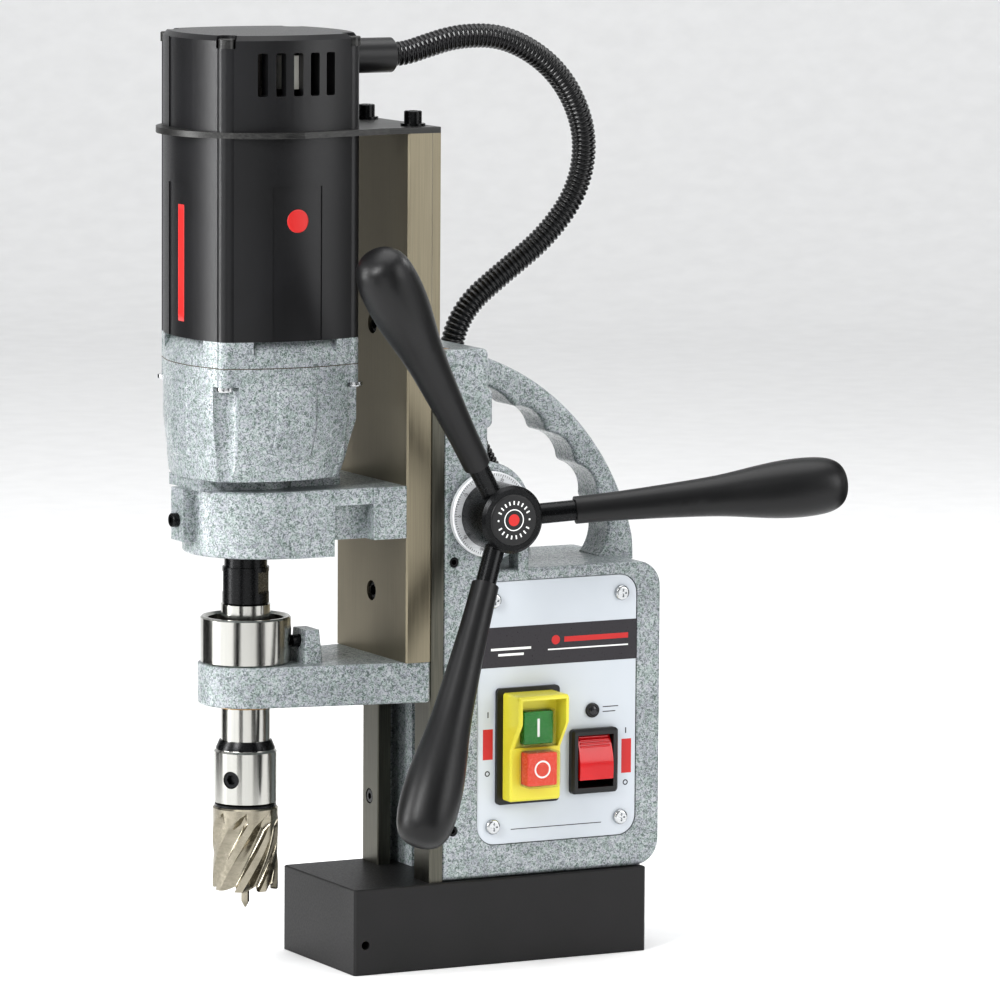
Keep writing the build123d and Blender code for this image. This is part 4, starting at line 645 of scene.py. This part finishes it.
def clear_plastic(name, tint, rough):
    """Clear moulded polycarbonate: see-through, with a gloss that strengthens at grazing angles."""
    made, tree, shader, place = material(name, IOR=1.5, Specular_IOR_Level=0.8)
    cloud = add(tree, "ShaderNodeTexNoise", {"Vector": place, "Scale": 300.0, "Detail": 1.0})
    tree.links.new(ramp(tree, cloud.outputs["Fac"], [(0.3, tint), (0.7, "#a7ab9c")]),
                   shader.inputs["Base Color"])
    tree.links.new(ramp(tree, cloud.outputs["Fac"], [(0.3, rough), (0.7, rough + 0.03)]),
                   shader.inputs["Roughness"])
    edge = add(tree, "ShaderNodeLayerWeight", {"Blend": 0.35})
    tree.links.new(ramp(tree, edge.outputs["Facing"], [(0.35, 0.03), (0.8, 0.45)]), shader.inputs["Alpha"])
    return made


finishes = {
    "hammertone": hammertone(),
    "magnet_steel": moulded("satin_black_enamel", "#191919", "#1e1d1e", 0.45, 900.0, 0.2,
                            Specular_IOR_Level=0.35),
    "resin": moulded("potting_resin", "#0e0e0f", "#151516", 0.35),
    "ground_steel": brushed("ground_steel", "#847d6c", "#8f8876", 0.36, 2, 0.9, grain=1500.0),
    "rail_steel": brushed("milled_rail_steel", "#55544e", "#6a6960", 0.36, 2),
    "black_oxide": moulded("black_oxide_steel", "#0c0d0e", "#131416", 0.26, 1500.0, 0.1, 0.5),
    "zinc": brushed("bright_zinc_plate", "#b4b6b8", "#cfd1d2", 0.22, 0),
    "bronze": brushed("bearing_bronze", "#8e6a38", "#a98348", 0.35, 1),
    "panel": moulded("printed_panel", "#bcc2c8", "#c3c8ce", 0.4, 1400.0, 0.05),
    "black_plastic": moulded("black_polyamide", "#111113", "#181819", 0.36),
    "motor_plastic": moulded("charcoal_glass_filled_nylon", "#161617", "#1b1b1d", 0.34, 1500.0, 0.12,
                             Specular_IOR_Level=0.4),
    "yellow_plastic": moulded("yellow_abs", "#d2c83c", "#dad148", 0.32, 1200.0, 0.05),
    "green_plastic": moulded("green_abs", "#04691b", "#067a22", 0.25, 1200.0, 0.05),
    "red_plastic": moulded("red_abs", "#d23c26", "#dc462e", 0.25, 1200.0, 0.05),
    "rocker_red": moulded("translucent_red_polycarbonate", "#b60d15", "#cc161e", 0.14, 1200.0, 0.03),
    "grip_plastic": moulded("satin_black_grip", "#0e0e0f", "#131314", 0.38, 1300.0, 0.2,
                            Specular_IOR_Level=0.4),
    "conduit_nylon": moulded("glossy_black_nylon", "#0a0a0b", "#101012", 0.2, 800.0, 0.03),
    "polished_steel": brushed("polished_steel", "#acaca8", "#bcbbb6", 0.17, 2, grain=700.0),
    "tool_steel": brushed("ground_tool_steel", "#8b8678", "#a09a8c", 0.2, 0, grain=700.0),
    "laminations": brushed("steel_laminations", "#5a5652", "#77726c", 0.45, 0),
    "white_plastic": moulded("white_polyamide", "#c9c8c0", "#d6d5cd", 0.45),
    "silver_ring": brushed("satin_aluminium", "#d2d4d6", "#e2e4e6", 0.38, 0, 0.35),
    "white_print": moulded("white_ink", "#e6e8e6", "#efefee", 0.45, 1500.0, 0.03),
    "black_print": moulded("black_ink", "#221e24", "#29262b", 0.32, 1500.0, 0.03),
    "red_print": moulded("red_ink", "#b71f1f", "#c42724", 0.36, 1500.0, 0.03),
    "gasket_paper": moulded("oiled_gasket_paper", "#3c3128", "#4b4034", 0.7),
    "smoked_lens": moulded("smoked_lens", "#1c1c20", "#2a2a2e", 0.08, 900.0, 0.02),
    "clear_cover": clear_plastic("clear_polycarbonate", "#8d9180", 0.03),
}
slot_of = {entry["node"]: entry["material_slot"] for entry in frame["record"]["subparts"]}
# The stage's cards, and the nodes whose shown finish differs from their slot's: the motor's support plate and
# the cap screws are phosphated, and the spindle's bearing is painted.
finishes["matt_black_card"] = moulded("matt_black_card", "#101010", "#141414", 0.9)
finishes["phosphated"] = brushed("phosphated_steel_plate", "#3a3a3a", "#4a4a49", 0.38, 0, 0.8, grain=1200.0)
own_finish = {"support_plate": "phosphated", "spindle_bearing": "hammertone", "cap_screws": "phosphated"}
for name, node in part.items():
    node.data.materials.clear()
    node.data.materials.append(finishes[own_finish.get(name, slot_of[name])])
for piece, finish in finish_of.items():
    piece.data.materials.append(finishes[finish])


# ==== floor and light ==================================================================
def floor():
    """A wide floor that curves up behind the object: a flat sheet, then a quarter circle, then a wall."""
    half, depth, bend, near, high, heading = 6.0, 3.0, 1.2, -5.0, 6.0, 0.4757
    under = 0.0002                      # the floor lies this far below the object
    forward = np.array([cos(heading), sin(heading) * -1])
    across = np.array([sin(heading), cos(heading)])
    angle = np.linspace(0, pi / 2, 17)
    run = np.concatenate([[near], depth + bend * np.sin(angle), [depth + bend]])
    height = np.concatenate([[0.0], bend - bend * np.cos(angle), [high]])
    points = np.array([[*(across * r + forward * w), h - under]
                       for r, h in zip(run, height) for w in (-half, half)])
    sheet = mesh_piece("floor", points, grid_faces(len(run), 2, closed=False), None)
    made, tree, shader, place = material("matt_white_paper", Roughness=0.9)
    fibre = add(tree, "ShaderNodeTexNoise", {"Vector": place, "Scale": 40.0})
    tree.links.new(ramp(tree, fibre.outputs["Fac"], [(0.3, "#f0f0f0"), (0.7, "#f4f4f4")]),
                   shader.inputs["Base Color"])
    sheet.data.materials.append(made)


def lamp(name, place, aim, size, power):
    """A soft rectangular lamp aimed at a point."""
    data = bpy.data.lights.new(name, "AREA")
    data.shape, data.size, data.size_y, data.energy = "RECTANGLE", size[0], size[1], power
    made = bpy.data.objects.new(name, data)
    bpy.context.collection.objects.link(made)
    direction = Vector(aim) - Vector(place)
    made.matrix_world = Matrix.Translation(place) @ direction.to_track_quat("-Z", "Y").to_matrix().to_4x4()


def card(name, place, aim, size):
    """A black card beside the object, which gives bright steel its dark reflections."""
    face = Vector(aim) - Vector(place)
    turned = face.to_track_quat("Z", "Y").to_matrix()
    half_wide, half_high = size[0] / 2, size[1] / 2
    points = [Vector(place) + turned @ Vector((x * half_wide, y * half_high, 0))
              for x, y in ((-1, -1), (1, -1), (1, 1), (-1, 1))]
    sheet = mesh_piece(name, np.array(points), [[0, 1, 2, 3]], None)
    sheet.data.materials.append(finishes["matt_black_card"])
    sheet.visible_camera = sheet.visible_shadow = sheet.visible_diffuse = False


floor()
middle = (0, 0, 0.23)
spindle_middle, card_reach, card_height = (-0.12, 0, 0.26), 0.5, 0.5
to_camera, to_right = Vector((-0.458, -0.889, 0)), Vector((0.889, -0.458, 0))
# Each card's bearing is seen from the spindle, in degrees to the right of the camera, with its width.
for bearing, wide in ((-112, 0.42), (-19, 0.15), (40, 0.19), (112, 0.42)):
    heading = radians(bearing)
    away = cos(heading) * to_camera + sin(heading) * to_right
    card(f"card_{bearing + 180}", Vector(spindle_middle) + card_reach * away, spindle_middle,
         (wide, card_height))
lamp("key", (-1.9, -0.9, 1.4), middle, (0.8, 1.3), 40)
lamp("fill", (1.3, -1.6, 0.9), middle, (1.0, 1.4), 13)
lamp("top", (0.1, 0.1, 2.0), middle, (1.6, 1.6), 17)
lamp("left_strip", (-1.6, 0.5, 0.5), middle, (0.4, 1.4), 18)
lamp("right_strip", (1.6, 0.2, 0.6), middle, (0.4, 1.4), 12)
world = bpy.data.worlds.new("studio")
bpy.context.scene.world = world
world.use_nodes = True
world.node_tree.nodes["Background"].inputs["Color"].default_value = colour("#f4f5f6")
world.node_tree.nodes["Background"].inputs["Strength"].default_value = 0.62
bpy.context.scene.view_settings.view_transform = "Standard"
bpy.context.scene.view_settings.look = "Medium High Contrast"
